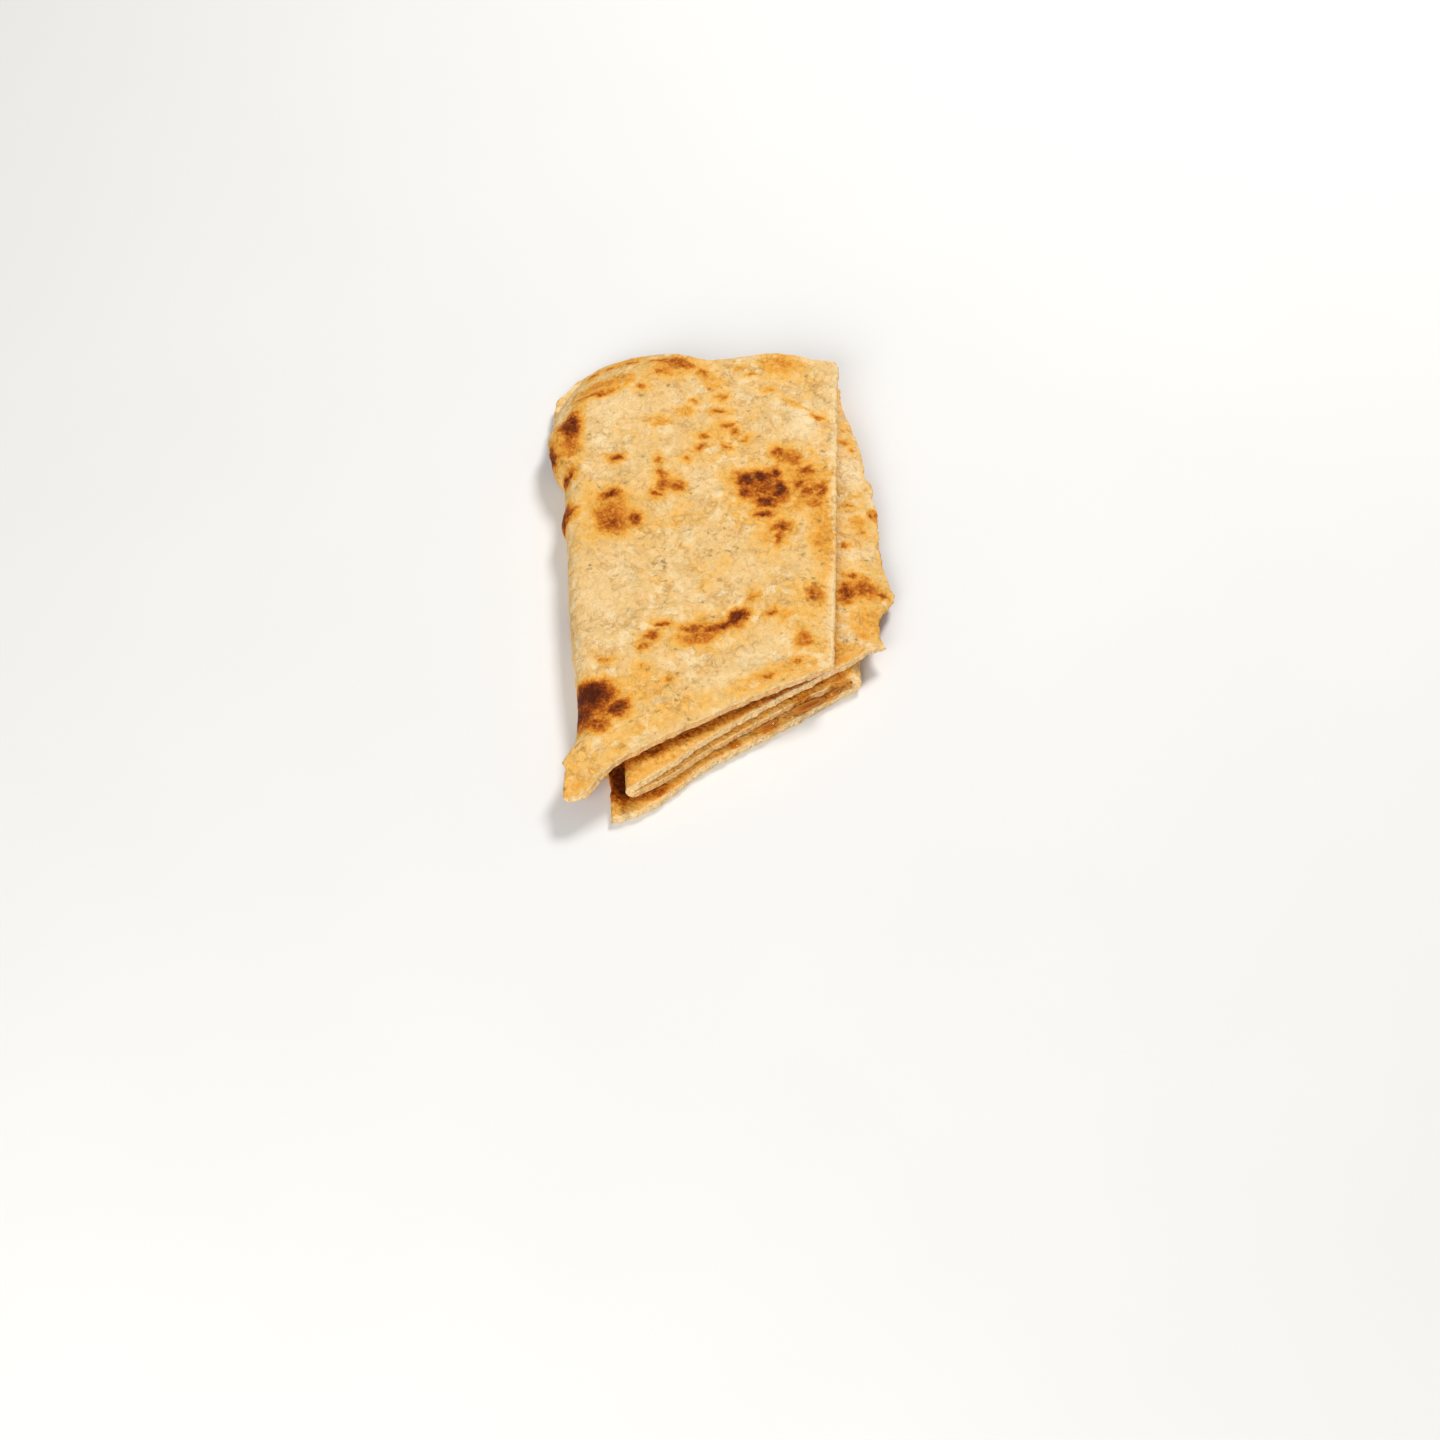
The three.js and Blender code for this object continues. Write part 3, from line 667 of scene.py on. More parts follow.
def browning(sheet):
    """Browning of the outer and the inner face with painted shade at the steps of the cut, and paleness
    with a painted highlight along the rim, and specks.
    """
    x, y = sheet.plan
    u, v, section = sheet.run, y, sheet.section
    warped = x + swells(u, v, WARP_X), y + swells(u, v, WARP_Y)
    facing_up = ease(-0.25, 0.25, sheet.outward[..., 2])
    on_cover = section <= LEFT_FOLD
    spots = soft_spots(COVER_SPOTS, *warped, halo=HALO_LEVEL)
    gold = soft_spots(COVER_GOLD, *warped, 0.2)
    scattered = leopard(u, v)
    veil = 0.1 * ease(0.15, 0.95, swells(u, v, VEIL_SWELLS))
    top = np.maximum(COVER_GROUND + gold + veil, spots + 0.3 * gold)
    below = UNDERSIDE_GROUND + scattered
    outer = np.where(on_cover, mix(below, top, facing_up), below)
    # Partly painted shade: the inner leaf's top is pale at its cut and browner from 1 mm in, which shows as
    # a dark line under the tongue's edge
    inner_top = mix(INNER_FRONT_GROUND, INNER_TOP_GROUND, ease(*INNER_FADE_INTO_SHADE, sheet.from_cut))
    outer = np.where(section >= INNER, inner_top + 0.3 * scattered, outer)

    strip = np.maximum(STRIP_GROUND, soft_spots(STRIP_SPOTS, *warped, halo=HALO_LEVEL))
    front = np.maximum(TONGUE_FRONT_GROUND + veil, soft_spots(TONGUE_FRONT_SPOTS, *warped))
    # Painted shade: the tongue top darkens where it passes under the cover's cut edge
    front += PAINTED_SHADE_UNDER_COVER * ease(*SHADE_SPAN, y - follow(COVER_CUT, x))
    tongue = mix(front, strip, ease(*STRIP_SPAN, x))
    # The front of the base: char and browning with painted shade under the cover's tip and the tongue
    base_top = np.maximum(BASE_TOP_GROUND + veil, soft_spots(BASE_FRONT_CHAR_AND_SHADE, *warped))
    under_cover = UNDER_COVER_GROUND + 0.4 * scattered
    inner = np.select([section == BASE, section >= TONGUE_FOLD], [base_top, tongue], under_cover)

    pale = soft_spots(COVER_PALE, *warped, 0.3, 1.2)
    # Painted highlight along the raised rim of the cover, added to the paleness
    pale = np.maximum(pale, RIM_HIGHLIGHT * bell(sheet.from_rim, *RIM_HIGHLIGHT_SPAN))
    pale = pale * facing_up * on_cover
    strip_pale = soft_spots(STRIP_PALE, *warped, 0.3, 1.2) * (section == TONGUE)
    dust = soft_spots(COVER_DUST, x, y, 0.2, 1.2) * on_cover
    return outer, inner, pale, strip_pale, dust


def faces_of(sheet):
    x, y = sheet.plan
    section = sheet.section
    half = half_thickness(sheet)
    relief = crust_relief(sheet.run, y) * mix(0.25, 1, ease(0, EDGE_CALM, sheet.from_edge))
    sunk = 0.7 * np.minimum(relief, 0)
    broad = sum(
        height * (1 - ease(0, 1, np.hypot((x - at_x) / wide, (y - at_y) / long)))
        for at_x, at_y, wide, long, height in BLISTERS
    )
    ridge = sum(height * bell(sheet.from_rim, at, width) for height, at, width in RIM_RIDGE)
    outer = np.select(
        [section == COVER, section == LEFT_FOLD, section == BASE],
        [relief + broad + ridge, np.minimum(relief, SIDE_RELIEF), np.minimum(-SIDE_RELIEF - relief, 0)],
        sunk,
    )

    def past(edge, at):
        return ease(edge - FLAKE_EDGE, edge + FLAKE_EDGE, at)

    hollow = past(FLAKE_FROM_X, x) * (past(FLAKE_FROM_Y, y) - past(FLAKE_TO_Y, y))
    shown = ease(*TONGUE_OUT, x) + 1 - ease(*STEP_FADE, sheet.from_cut)
    strip = mix(np.minimum(relief, 0), relief, np.minimum(shown, 1)) - FLAKE_DEPTH * hollow
    inner = np.where(section == TONGUE, strip, sunk)
    out = sheet.points + sheet.outward * (half + outer)[..., None]
    into = sheet.points - sheet.outward * (half + inner)[..., None]
    bite = BITE_DEPTH * np.exp(-sheet.from_cut / BITE_REACH)
    out[..., 1] += bite * positive(sheet.run, y, *OUTER_BITES)
    into[..., 1] += bite * positive(sheet.run, y, *INNER_BITES)
    out[..., 2] = np.clip(out[..., 2], 0, TOP_LIMIT)
    return out, into


# Sides of a block, each as the way to its neighbour and the corner where the side starts
BLOCK_SIDES = [(-1, 0, 0, 0), (0, 1, 0, 1), (1, 0, 1, 1), (0, -1, 1, 0)]


def quads(a, b, c, d):
    return np.concatenate([np.stack([a, b, c], -1), np.stack([a, c, d], -1)])


def compact(points, triangles, looks):
    """Points, triangles and looks without the points that no triangle uses."""
    used, triangles = np.unique(np.concatenate(triangles), return_inverse=True)
    return points[used], triangles.reshape(-1, 3), {name: looks[name][used] for name in looks}


class Mesher:
    """Closes the sheet with triangles: fine where it shows, large where it is hidden."""

    def __init__(self, sheet):
        columns, self.row_count = sheet.from_cut.shape
        self.cells = columns - 1, self.row_count - 1
        self.present = np.ones(self.cells, bool)
        lower = (sheet.index[:-1] == LEFT_FOLD) & (sheet.share[:-1] >= 0.5)
        row = np.arange(self.cells[1])
        loose = (row < FRONT_ROWS) | (row >= FRONT_ROWS + MIDDLE_ROWS)
        self.present[np.ix_(lower, loose)] = False
        self.triangles = []

    def at(self, c, r):
        return c * self.row_count + r

    def face(self, fine, offset, flip):
        """One face of the sheet; fine marks the cells that need the full spacing."""
        blocks = self.cells[0] // BLOCK, self.cells[1] // BLOCK
        shape = blocks[0], BLOCK, blocks[1], BLOCK
        there = self.present.reshape(shape).any(axis=(1, 3))
        is_fine = (fine & self.present).reshape(shape).any(axis=(1, 3))
        c, r = np.nonzero(np.repeat(np.repeat(is_fine, BLOCK, 0), BLOCK, 1) & self.present)
        corners = [self.at(c, r), self.at(c, r + 1), self.at(c + 1, r + 1), self.at(c + 1, r)]
        self.triangles.append(quads(*(corners[::-1] if flip else corners)) + offset)

        def detailed(i, j):
            inside = 0 <= i < blocks[0] and 0 <= j < blocks[1]
            return not inside or not there[i, j] or is_fine[i, j]

        fans = []
        for i, j in zip(*np.nonzero(there & ~is_fine)):
            ring = []
            for di, dj, corner_i, corner_j in BLOCK_SIDES:
                column, row = (i + corner_i) * BLOCK, (j + corner_j) * BLOCK
                steps = range(BLOCK if detailed(i + di, j + dj) else 1)
                ring += [self.at(column + dj * k, row - di * k) for k in steps]
            hub = self.at(i * BLOCK + BLOCK // 2, j * BLOCK + BLOCK // 2)
            for a, b in zip(ring, ring[1:] + ring[:1]):
                fans.append((hub, b, a) if flip else (hub, a, b))
        self.triangles.append(np.array(fans) + offset)

    def rim_edges(self):
        """Edges along every free side, in the order that faces them outwards."""
        present = np.pad(self.present, 1)
        c, r = np.nonzero(self.present)
        p, q = self.at(c, r), self.at(c, r + 1)
        s, t = self.at(c + 1, r + 1), self.at(c + 1, r)
        edges = []
        for dc, dr, a, b in [(-1, 0, p, q), (1, 0, s, t), (0, -1, t, p), (0, 1, q, s)]:
            free = ~present[c + 1 + dc, r + 1 + dr]
            edges.append(np.stack([a[free], b[free]], -1))
        return np.concatenate(edges)


def inward_of(sheet, mesher, corners):
    """Unit directions from rim corners towards the sheet beside them."""
    points = sheet.points
    middles = (points[:-1, :-1] + points[1:, :-1] + points[:-1, 1:] + points[1:, 1:]) / 4
    flat = points.reshape(-1, 3)
    total = np.zeros(flat.shape)
    c, r = np.nonzero(mesher.present)
    for dc, dr in [(0, 0), (0, 1), (1, 0), (1, 1)]:
        corner = mesher.at(c + dc, r + dr)
        np.add.at(total, corner, middles[c, r] - flat[corner])
    inward = total[corners]
    return inward / np.linalg.norm(inward, axis=1, keepdims=True)


# Places soaked with honey: cut edge, X, distance in from the cut, Z, and half the length,
# depth and height
SOAKS = [
    (INNER_CUT, 60.2, 0, 4, 3.8, 2.7, 2.8), (INNER_CUT, 69, 0.4, 4.2, 3, 2.4, 2.4),
    (BASE_CUT, 50.5, 2.2, 2.6, 2.6, 1.8, 1.5), (BASE_CUT, 65.6, 2, 2.6, 5, 1.8, 1.1),
    (BASE_CUT, 42, 3, 2.6, 2.4, 1.5, 1.2),
]
SOAK_FADE = (0.65, 1.05)
CUT_ANGLE = radians(29)


def soaked(points):
    """How far each point is soaked with honey, from 0 to 1."""
    x, y, z = points.T
    level = np.zeros(len(points))
    wobble = swells(x + z, y - z, SOAK_WOBBLE)
    for cut, at_x, inwards, at_z, long, deep, high in SOAKS:
        along, across = turned(x - at_x, y - follow(cut, at_x) - inwards, CUT_ANGLE)
        away = np.hypot(np.hypot(along / long, across / deep), (z - at_z) / high)
        level = np.maximum(level, 1 - ease(*SOAK_FADE, away + wobble))
    return level


def bread_mesh():
    """Points, triangles and looks of the folded sheet."""
    sheet = Sheet()
    outside, inside = faces_of(sheet)
    outer_toast_and_shade, inner_toast_and_shade, pale, strip_pale, dust = browning(sheet)
    count = sheet.from_cut.size
    mesher = Mesher(sheet)

    section, x = sheet.section, sheet.plan[0]
    near_edge = sheet.from_edge < EDGE_SHOWN
    in_steps = sheet.from_cut < STEP_SHOWN
    in_steps |= (section == TONGUE_FOLD) & (sheet.from_cut < FOLD_SHOWN)
    right = (section >= BASE) & (section <= INNER) & (x > RIGHT_FOLD_X - EDGE_SHOWN)
    strip = (section == TONGUE) & (sheet.from_rim < EDGE_SHOWN)
    shown_out = near_edge | (section <= LEFT_FOLD) | right | (section == INNER) & in_steps
    shown_in = near_edge | strip | ((section == BASE) | (section >= TONGUE_FOLD)) & in_steps
    mesher.face(shown_out[:-1, :-1], 0, False)
    mesher.face(shown_in[:-1, :-1], count, True)

    edges = mesher.rim_edges()
    corners, where = np.unique(edges, return_inverse=True)
    a, b = where.reshape(edges.shape).T
    inward = inward_of(sheet, mesher, corners)

    def at_rim(values):
        return values.ravel()[corners]

    top, bottom = outside.reshape(-1, 3)[corners], inside.reshape(-1, 3)[corners]
    cut = np.exp(-at_rim(sheet.from_cut) / CRUMB_REACH)
    run, along, leaf = at_rim(sheet.run), at_rim(sheet.plan[1]), at_rim(section)
    bareness = np.select([leaf == COVER, leaf == INNER], [COVER_CRUMB, INNER_CRUMB], 1)
    walls, wall_crumb = [], []
    for step in range(1, WALL_STEPS):
        share = step / WALL_STEPS
        arch = sin(pi * share)
        pores = positive(run + 9 * step, along, *PORES)
        holes = domes(run + 5 * step, along, *CRUMB_HOLES)
        depth = arch * (CUT_HOLLOW + PORE_DEPTH * pores + HOLE_DEPTH * holes) * cut
        bulge = -EDGE_BULGE * arch * (1 - cut)
        walls.append(mix(top, bottom, share) + inward * (depth + bulge)[:, None])
        wall_crumb.append(mix(0.2, 0.7 + 0.3 * arch, cut) * bareness)
    rings = np.arange((WALL_STEPS - 1) * len(corners)).reshape(-1, len(corners))
    chain = [corners, *(rings + 2 * count), corners + count]
    for upper, lower in zip(chain, chain[1:]):
        mesher.triangles.append(quads(upper[a], lower[a], lower[b], upper[b]))

    points = np.concatenate([outside.reshape(-1, 3), inside.reshape(-1, 3), *walls])
    crumb_reach = np.where((section == BASE) | (section == TONGUE), STEP_CRUMB, EDGE_CRUMB)
    edge_crumb = 0.8 * (1 - ease(0.1, crumb_reach, sheet.from_cut))
    wall_toast_and_shade = np.tile(at_rim(mix(outer_toast_and_shade, inner_toast_and_shade, 0.5)), WALL_STEPS - 1)
    parts = {
        "toast": [outer_toast_and_shade, inner_toast_and_shade, wall_toast_and_shade],
        "pale": [pale, strip_pale, 0 * wall_toast_and_shade],
        "dust": [dust, 0 * dust, 0 * wall_toast_and_shade],
        "crumb": [edge_crumb, edge_crumb, *wall_crumb],
    }
    looks = {name: np.concatenate([part.ravel() for part in some]) for name, some in parts.items()}
    looks["honey"] = soaked(points)
    return compact(points, mesher.triangles, looks)


# Honey in the crease between the cut of the inner leaf and the top of the base. Across the
# crease, from the wall down and out: how far out of the edge and how far up its bed lies,
# and how far the honey stands out and up from there.
BED = [
    (0.2, 1.9, 0.1, 0), (0.2, 1.3, 0.6, 0.1), (0.3, 0.7, 1, 0.4), (0.5, 0.2, 1.1, 0.8),
    (1, 0, 0.8, 0.9), (1.7, 0, 0.4, 0.6), (2.3, 0, 0.1, 0.2),
]
# X, half length and size of each bead
BEADS = [(60.6, 4.6, 0.95), (50.4, 2.7, 0.7), (68, 1.9, 0.6)]
HONEY_SETBACK = 0.6
HONEY_DEPTH = 0.7
SPREAD = 0.42
RINGS = 14
SPOKES = 56
LOBES = [(2, 0.12, 0.7), (3, 0.07, 2.1), (5, 0.04, 0.4)]


def honey_mesh():
    """Closed beads of honey, each with its back sunk into the bread."""
    ring = np.linspace(0, 1, RINGS + 1)[1:, None]
    spoke = 2 * pi * np.arange(SPOKES) / SPOKES
    out_x, out_y = sin(CUT_ANGLE), -cos(CUT_ANGLE)
    points, depths = [], []
    knots = np.linspace(0, 1, len(BED))
    bed = [list(zip(knots, values)) for values in zip(*BED)]
    for number, (x, half, size) in enumerate(BEADS):
        lobes = 1 + sum(wide * np.sin(n * spoke + shift + number) for n, wide, shift in LOBES)
        along = np.append(0, ring * lobes * np.cos(spoke))
        place = np.append(0.5, 0.5 + SPREAD * ring * lobes * np.sin(spoke))
        crown = np.append(1, 1 - ring * ring + 0 * spoke)
        out, up, stand_out, stand_up = [size * follow(values, place) for values in bed]
        edge_x = x + half * along * cos(CUT_ANGLE)
        edge_y = follow(INNER_CUT, edge_x) + HONEY_SETBACK
        for lift_out, lift_up in ((stand_out, stand_up), (-HONEY_DEPTH, -HONEY_DEPTH)):
            reach = out + crown * lift_out
            z = BASE_THICKNESS + up + crown * lift_up
            points.append(np.stack([edge_x + reach * out_x, edge_y + reach * out_y, z], -1))
            depths.append(crown)
    count = 1 + RINGS * SPOKES
    first = np.arange(SPOKES)
    after = np.roll(first, -1)
    skin = [np.stack([0 * first, 1 + after, 1 + first], -1)]
    for inner in range(1, count - SPOKES, SPOKES):
        outer = inner + SPOKES
        skin.append(quads(inner + first, inner + after, outer + after, outer + first))
    skin = np.concatenate(skin)
    back = skin[:, ::-1] + count
    back = np.where(back >= 2 * count - SPOKES, back - count, back)
    shape = np.concatenate([skin, back])
    triangles = [shape + 2 * count * number for number in range(len(BEADS))]
    return compact(np.concatenate(points), triangles, {"depth": np.concatenate(depths)})


def add_object(name, data):
    thing = bpy.data.objects.new(name, data)
    scene.collection.objects.link(thing)
    return thing


def make_object(name, points, triangles, looks, material):
    mesh = bpy.data.meshes.new(name)
    mesh.from_pydata(((points - PLAN_CENTRE) * MM).tolist(), [], triangles.tolist())
    mesh.shade_smooth()
    for attribute, values in looks.items():
        layer = mesh.attributes.new(attribute, "FLOAT", "POINT")
        layer.data.foreach_set("value", values.astype(np.float32))
    mesh.materials.append(material)
    return add_object(name, mesh)


# Materials


class Nodes:
    """Short calls for building a node tree."""

    def __init__(self, name):
        self.material = bpy.data.materials.new(name)
        self.material.use_nodes = True
        self.tree = self.material.node_tree
        self.shader = self.tree.nodes["Principled BSDF"]
        self.place = self.tree.nodes.new("ShaderNodeTexCoord").outputs["Object"]

    def link(self, source, socket):
        if isinstance(source, bpy.types.NodeSocket):
            self.tree.links.new(source, socket)
        else:
            socket.default_value = source

    def surface(self, name, source):
        self.link(source, self.shader.inputs[name])

    def add(self, kind, *sources, **named):
        """A new node. Sources go to its first inputs, names to inputs or settings."""
        node = self.tree.nodes.new("ShaderNode" + kind)
        for name, value in named.items():
            if name in node.inputs:
                self.link(value, node.inputs[name])
            else:
                setattr(node, name, value)
        for source, socket in zip(sources, node.inputs):
            self.link(source, socket)
        return node

    def attribute(self, name):
        return self.add("Attribute", attribute_name=name).outputs["Fac"]

    def noise(self, size_mm, detail=2, distortion=0, roughness=0.5, place=None):
        node = self.add(
            "TexNoise", place or self.place, Scale=1 / (size_mm * MM),
            Detail=detail, Distortion=distortion, Roughness=roughness,
        )
        return node.outputs["Fac"]

    def shifted(self, amount_mm, size_mm, stretch=(1, 1, 1)):
        """The place on the object, shifted by noise and stretched."""
        node = self.add("TexNoise", self.place, Scale=1 / (size_mm * MM))
        centred = self.vector("SUBTRACT", node.outputs["Color"], (0.5,) * 3)
        shift = self.vector("MULTIPLY", centred, (amount_mm * MM,) * 3)
        return self.vector("MULTIPLY", self.vector("ADD", self.place, shift), stretch)

    def vector(self, operation, first, second):
        return self.add("VectorMath", first, second, operation=operation).outputs[0]

    def cells(self, size_mm, place, feature="F1"):
        return self.add("TexVoronoi", place, feature=feature, Scale=1 / (size_mm * MM))

    def chance(self, cells):
        """A random number for each cell: the red share of its colour."""
        return self.add("SeparateColor", cells.outputs["Color"]).outputs[0]

    def math(self, operation, first, second):
        return self.add("Math", first, second, operation=operation).outputs[0]

    def plus(self, first, second):
        return self.math("ADD", first, second)

    def times(self, first, second):
        return self.math("MULTIPLY", first, second)

    def between(self, value, low, high, to_low=0, to_high=1):
        sources = value, low, high, to_low, to_high
        return self.add("MapRange", *sources, interpolation_type="SMOOTHSTEP").outputs[0]

    def colours(self, value, stops):
        node = self.add("ValToRGB", value)
        ramp_ends = node.color_ramp.elements
        for at, _ in stops[2:]:
            ramp_ends.new(at)
        for element, (at, colour) in zip(ramp_ends, stops):
            element.position = at
            element.color = (*colour, 1)
        return node.outputs["Color"]

    def blend(self, share, first, second, mode="MIX"):
        node = self.add("Mix", data_type="RGBA", blend_type=mode, Factor=share)
        sockets = [socket for socket in node.inputs if socket.type == "RGBA"]
        for source, socket in zip((first, second), sockets):
            self.link((*source, 1) if isinstance(source, tuple) else source, socket)
        return [socket for socket in node.outputs if socket.type == "RGBA"][0]

    def tint(self, share, colour, tone):
        return self.blend(share, colour, tone, "MULTIPLY")

    def bump(self, height, distance_mm, strength=1, **before):
        size = {"Distance": distance_mm * MM, "Strength": strength}
        return self.add("Bump", Height=height, **size, **before).outputs["Normal"]


# Size of the patches of the crust, and its colours from pale dough to char
PATCH_SIZE = 2.5
BROWNING = [
    (0, (0.87, 0.58, 0.25)), (0.18, (0.9, 0.51, 0.125)), (0.33, (0.83, 0.385, 0.052)),
    (0.48, (0.63, 0.2, 0.018)), (0.62, (0.41, 0.092, 0.004)), (0.8, (0.21, 0.037, 0.003)),
    (1, (0.09, 0.015, 0.002)),
]
PALE_DOUGH = (0.96, 0.74, 0.42)
TAN_DOUGH = (0.7, 0.44, 0.18)
ASHEN = (0.8, 0.79, 0.7)
CRINKLE = (0.64, 0.5, 0.31)
SPECK = (0.28, 0.165, 0.045)
CRUMB_LIGHT = (1, 0.8, 0.46)
CRUMB_DARK = (0.9, 0.56, 0.22)
CRUMB_PORE = (0.5, 0.22, 0.05)
AMBER = (0.8, 0.52, 0.15)


def crust_material():
    nodes = Nodes("crust")
    noise, between, times, plus = nodes.noise, nodes.between, nodes.times, nodes.plus
    blend, tint, surface = nodes.blend, nodes.tint, nodes.surface
    # Browning with painted shade at the steps of the cut, uneven with mottles and, where it is dark, flecks
    toast = nodes.attribute("toast")
    mottle = plus(noise(1.3, 5, 0.6, 0.62), -0.5)
    level = plus(toast, times(mottle, plus(times(toast, 0.85), 0.2)))
    flecks = plus(noise(0.8, 4, 0.4), -0.5)
    charred = between(toast, 0.3, 0.7, 0, 0.68)
    level = plus(level, times(flecks, charred))
    colour = nodes.colours(level, BROWNING)
    quiet = between(level, 0.12, 0.34, 1, 0)

    # Mosaic of pale and tan patches on the lighter dough
    bent = nodes.shifted(1.6, 1.8)
    tone = nodes.chance(nodes.cells(PATCH_SIZE, bent))
    tiled = between(noise(8), 0.42, 0.6, 0.35, 1)
    light = times(times(quiet, tiled), between(tone, 0.4, 1, 0, 0.8))
    colour = blend(light, colour, PALE_DOUGH)
    dark = times(quiet, between(nodes.chance(nodes.cells(1.2, bent)), 0.5, 1, 0, 0.36))
    colour = blend(dark, colour, TAN_DOUGH)
    # Pale places, with the painted highlight along the cover's rim
    pale = times(nodes.attribute("pale"), quiet)
    colour = blend(times(pale, 0.85), colour, PALE_DOUGH)

    # Crinkled seams between some of the patches, and wrinkles
    edge = nodes.cells(PATCH_SIZE, bent, "DISTANCE_TO_EDGE").outputs["Distance"]
    seam = between(edge, 0, 0.2, 1, 0)
    drift = between(noise(9), 0.4, 0.6, -0.1, 0.04)
    somewhere = between(plus(noise(3.4, 4, 0.8), drift), 0.48, 0.62)
    crinkle = times(times(seam, somewhere), 0.5)
    wrinkle = between(noise(2.1, 4, 1.2, 0.55), 0.53, 0.68)
    colour = tint(crinkle, colour, CRINKLE)
    colour = tint(times(wrinkle, 0.42), colour, CRINKLE)

    # Ash and flour, as a veil, as specks and as grey smears
    ash = between(noise(5, 3, 0.8), 0.48, 0.68, 0, 0.4)
    colour = tint(times(ash, quiet), colour, ASHEN)
    dust = nodes.attribute("dust")
    flour = nodes.cells(1.9, nodes.shifted(1.5, 0.9, (0.8, 1, 1)))
    threshold = nodes.math("SUBTRACT", 0.93, times(dust, 0.4))
    chosen = nodes.math("GREATER_THAN", nodes.chance(flour), threshold)
    reach = between(noise(0.9), 0.35, 0.65, 0.26, 0.6)
    speck = between(flour.outputs["Distance"], 0.05, reach, 0.75, 0)
    colour = blend(times(speck, chosen), colour, SPECK)
    smear = between(noise(1.5, 4, 1, 0.6), 0.52, 0.66, 0, 0.5)
    colour = tint(times(times(dust, smear), quiet), colour, CRINKLE)

    # Bare crumb with pores along the cut, then the honey that soaked in
    layered = nodes.shifted(0.7, 1.5, (1, 1, 2.6))
    grain = between(noise(1.3, 5, 0.3, 0.6, layered), 0.36, 0.6)
    crumb = blend(grain, CRUMB_DARK, CRUMB_LIGHT)
    hole = nodes.cells(0.95, layered)
    pore = nodes.math("GREATER_THAN", nodes.chance(hole), 0.72)
    pore = times(pore, between(hole.outputs["Distance"], 0.08, 0.4, 0.7, 0))
    crumb = blend(pore, crumb, CRUMB_PORE)
    colour = blend(times(nodes.attribute("crumb"), 0.9), colour, crumb)
    honey = nodes.attribute("honey")
    surface("Base Color", tint(honey, colour, AMBER))

    roughness = between(noise(0.5), 0.3, 0.7, 0.6, 0.8)
    surface("Roughness", between(honey, 0.2, 0.9, roughness, 0.12))
    surface("Specular IOR Level", between(honey, 0.2, 0.9, 0.1, 0.45))
    surface("Subsurface Weight", 0.1)
    surface("Subsurface Radius", (1, 0.5, 0.2))
    surface("Subsurface Scale", MM)

    normal = nodes.bump(times(between(edge, 0, 0.3), somewhere), 0.2)
    normal = nodes.bump(noise(1.7, 4, 0.8), 0.9, Normal=normal)
    normal = nodes.bump(noise(0.5, 3), 0.18, 0.8, Normal=normal)
    surface("Normal", normal)
    return nodes.material


HONEY_THIN = (0.88, 0.36, 0.04)
HONEY_THICK = (0.66, 0.19, 0.012)
FLOOR_DARK = (0.83, 0.82, 0.8)
FLOOR_LIGHT = (0.86, 0.85, 0.83)


def honey_material():
    nodes = Nodes("honey")
    depth = nodes.between(nodes.attribute("depth"), 0.1, 1)
    nodes.surface("Base Color", nodes.blend(depth, HONEY_THIN, HONEY_THICK))
    nodes.surface("Roughness", nodes.between(nodes.noise(1.2), 0.3, 0.7, 0.04, 0.1))
    nodes.surface("IOR", 1.4)
    nodes.surface("Specular IOR Level", 0.5)
    nodes.surface("Transmission Weight", 0.4)
    return nodes.material


def floor_material():
    nodes = Nodes("studio_floor")
    nodes.surface("Base Color", nodes.blend(nodes.noise(60), FLOOR_DARK, FLOOR_LIGHT))
    nodes.surface("Roughness", 0.9)
    return nodes.material


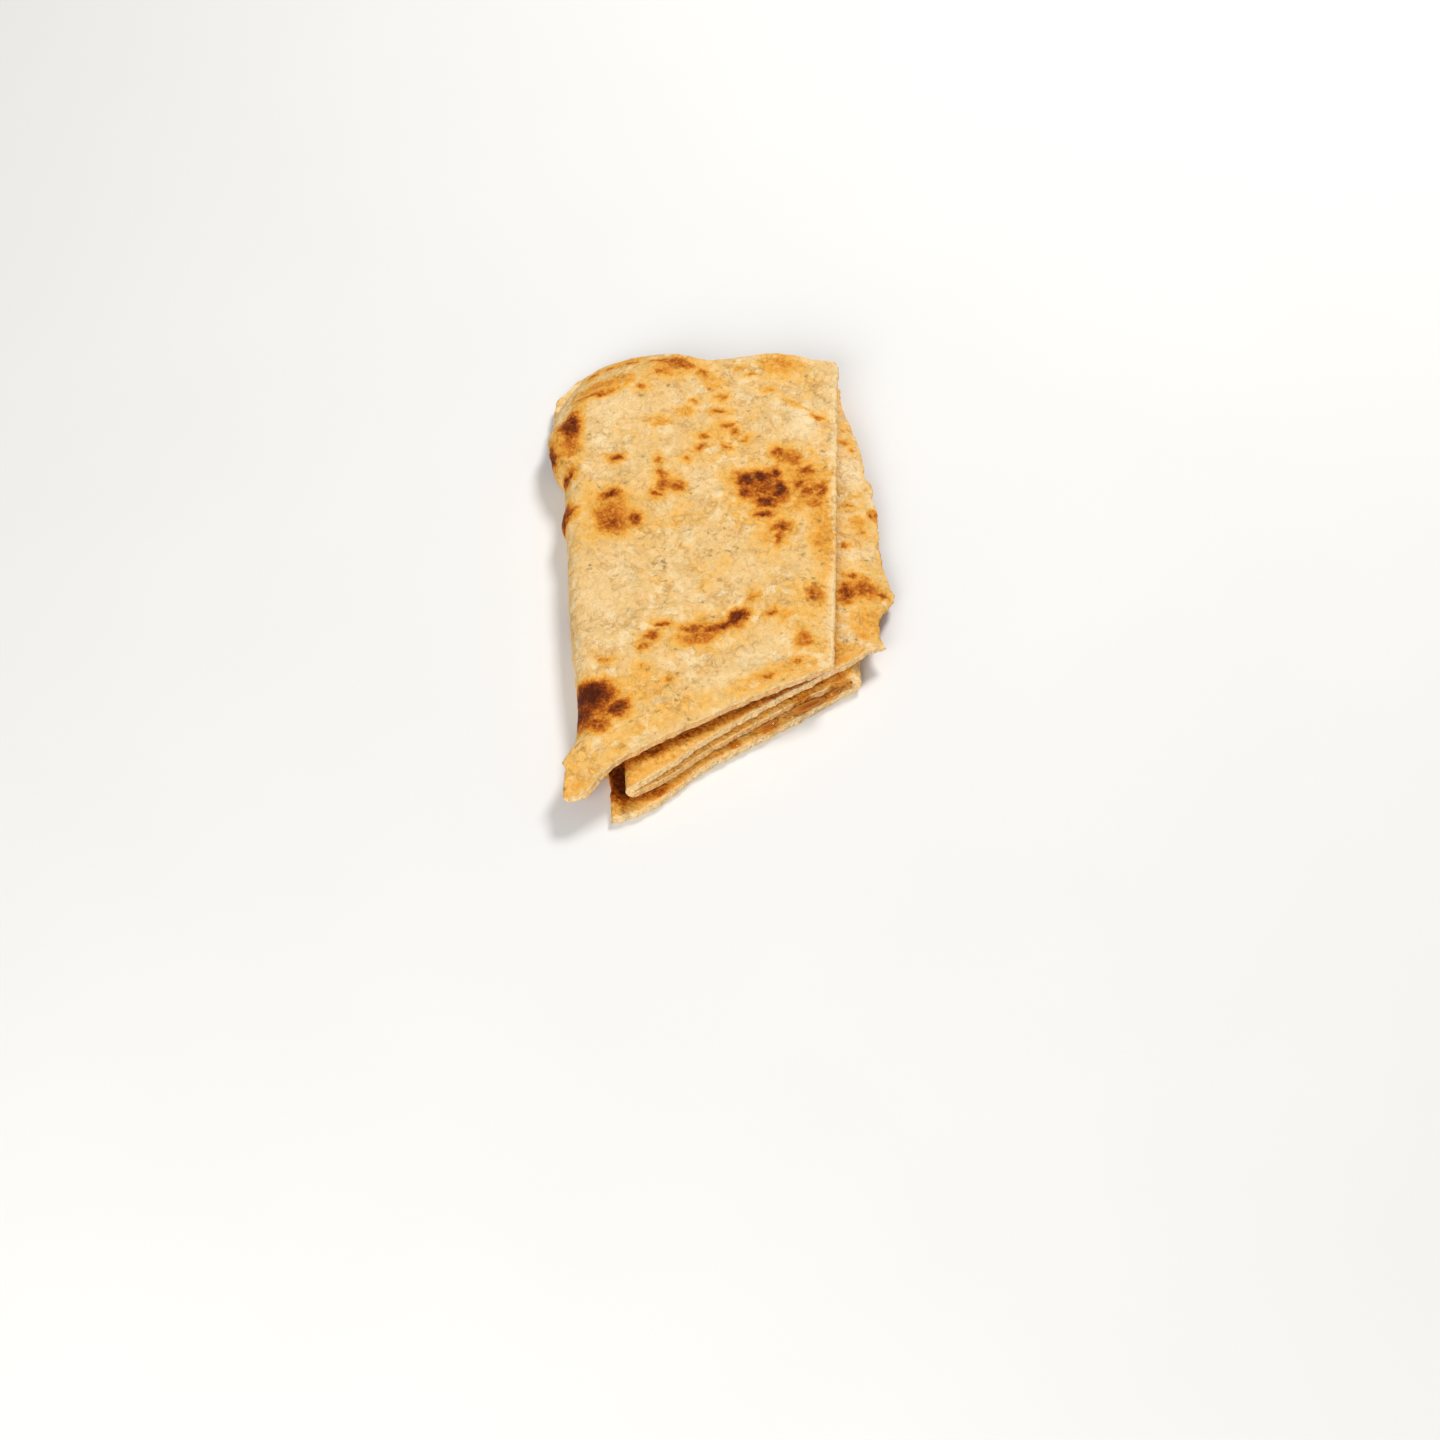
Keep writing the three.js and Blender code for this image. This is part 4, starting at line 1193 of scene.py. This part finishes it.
# Camera: where the photograph was taken from, in millimetres over the frame origin
CAMERA_AT = (-1.9, -446.26, 563.53)
CAMERA_ELEVATION = 54.5
CAMERA_ROLL = -2.5
CAMERA_LENS = 68.98


def add_camera():
    data = bpy.data.cameras.new("camera")
    data.lens = CAMERA_LENS
    camera = add_object("camera", data)
    tilt = Matrix.Rotation(radians(90 - CAMERA_ELEVATION), 4, "X")
    roll = Matrix.Rotation(radians(CAMERA_ROLL), 4, "Z")
    camera.matrix_world = Matrix.Translation(Vector(CAMERA_AT) * MM) @ tilt @ roll
    scene.camera = camera


# Soft lights, as name, place and width in metres, and power
SOFTBOXES = [("key", (0.3, 0.5, 0.7), 0.26, 5.6), ("fill", (-0.25, -0.66, 0.46), 0.6, 4.6)]
SKY_COLOUR = (1, 0.99, 0.97, 1)
SKY_STRENGTH = 0.3
# Half the width of the floor in metres, and how far it lies below the bread in millimetres
FLOOR_REACH = 3
FLOOR_GAP = 0.05


def add_studio():
    world = bpy.data.worlds.new("studio")
    scene.world = world
    world.use_nodes = True
    sky = world.node_tree.nodes["Background"].inputs
    sky["Color"].default_value = SKY_COLOUR
    sky["Strength"].default_value = SKY_STRENGTH
    for name, place, width, power in SOFTBOXES:
        data = bpy.data.lights.new(name, "AREA")
        data.shape = "DISK"
        data.size = width
        data.energy = power
        light = add_object(name, data)
        light.location = place
        light.rotation_euler = (-Vector(place)).to_track_quat("-Z", "Y").to_euler()
    mesh = bpy.data.meshes.new("floor")
    corners = [(x * FLOOR_REACH, y * FLOOR_REACH, 0) for x, y in ((-1, -1), (1, -1), (1, 1), (-1, 1))]
    mesh.from_pydata(corners, [], [(0, 1, 2, 3)])
    mesh.materials.append(floor_material())
    floor = add_object("floor", mesh)
    floor.location.z = -FLOOR_GAP * MM
    scene.view_settings.view_transform = "Standard"


add_camera()
add_studio()
bread = make_object("chapati", *bread_mesh(), crust_material())
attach(bread, "root")
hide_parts("folded_bread")
honey = make_object("honey", *honey_mesh(), honey_material())
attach(honey, "root")
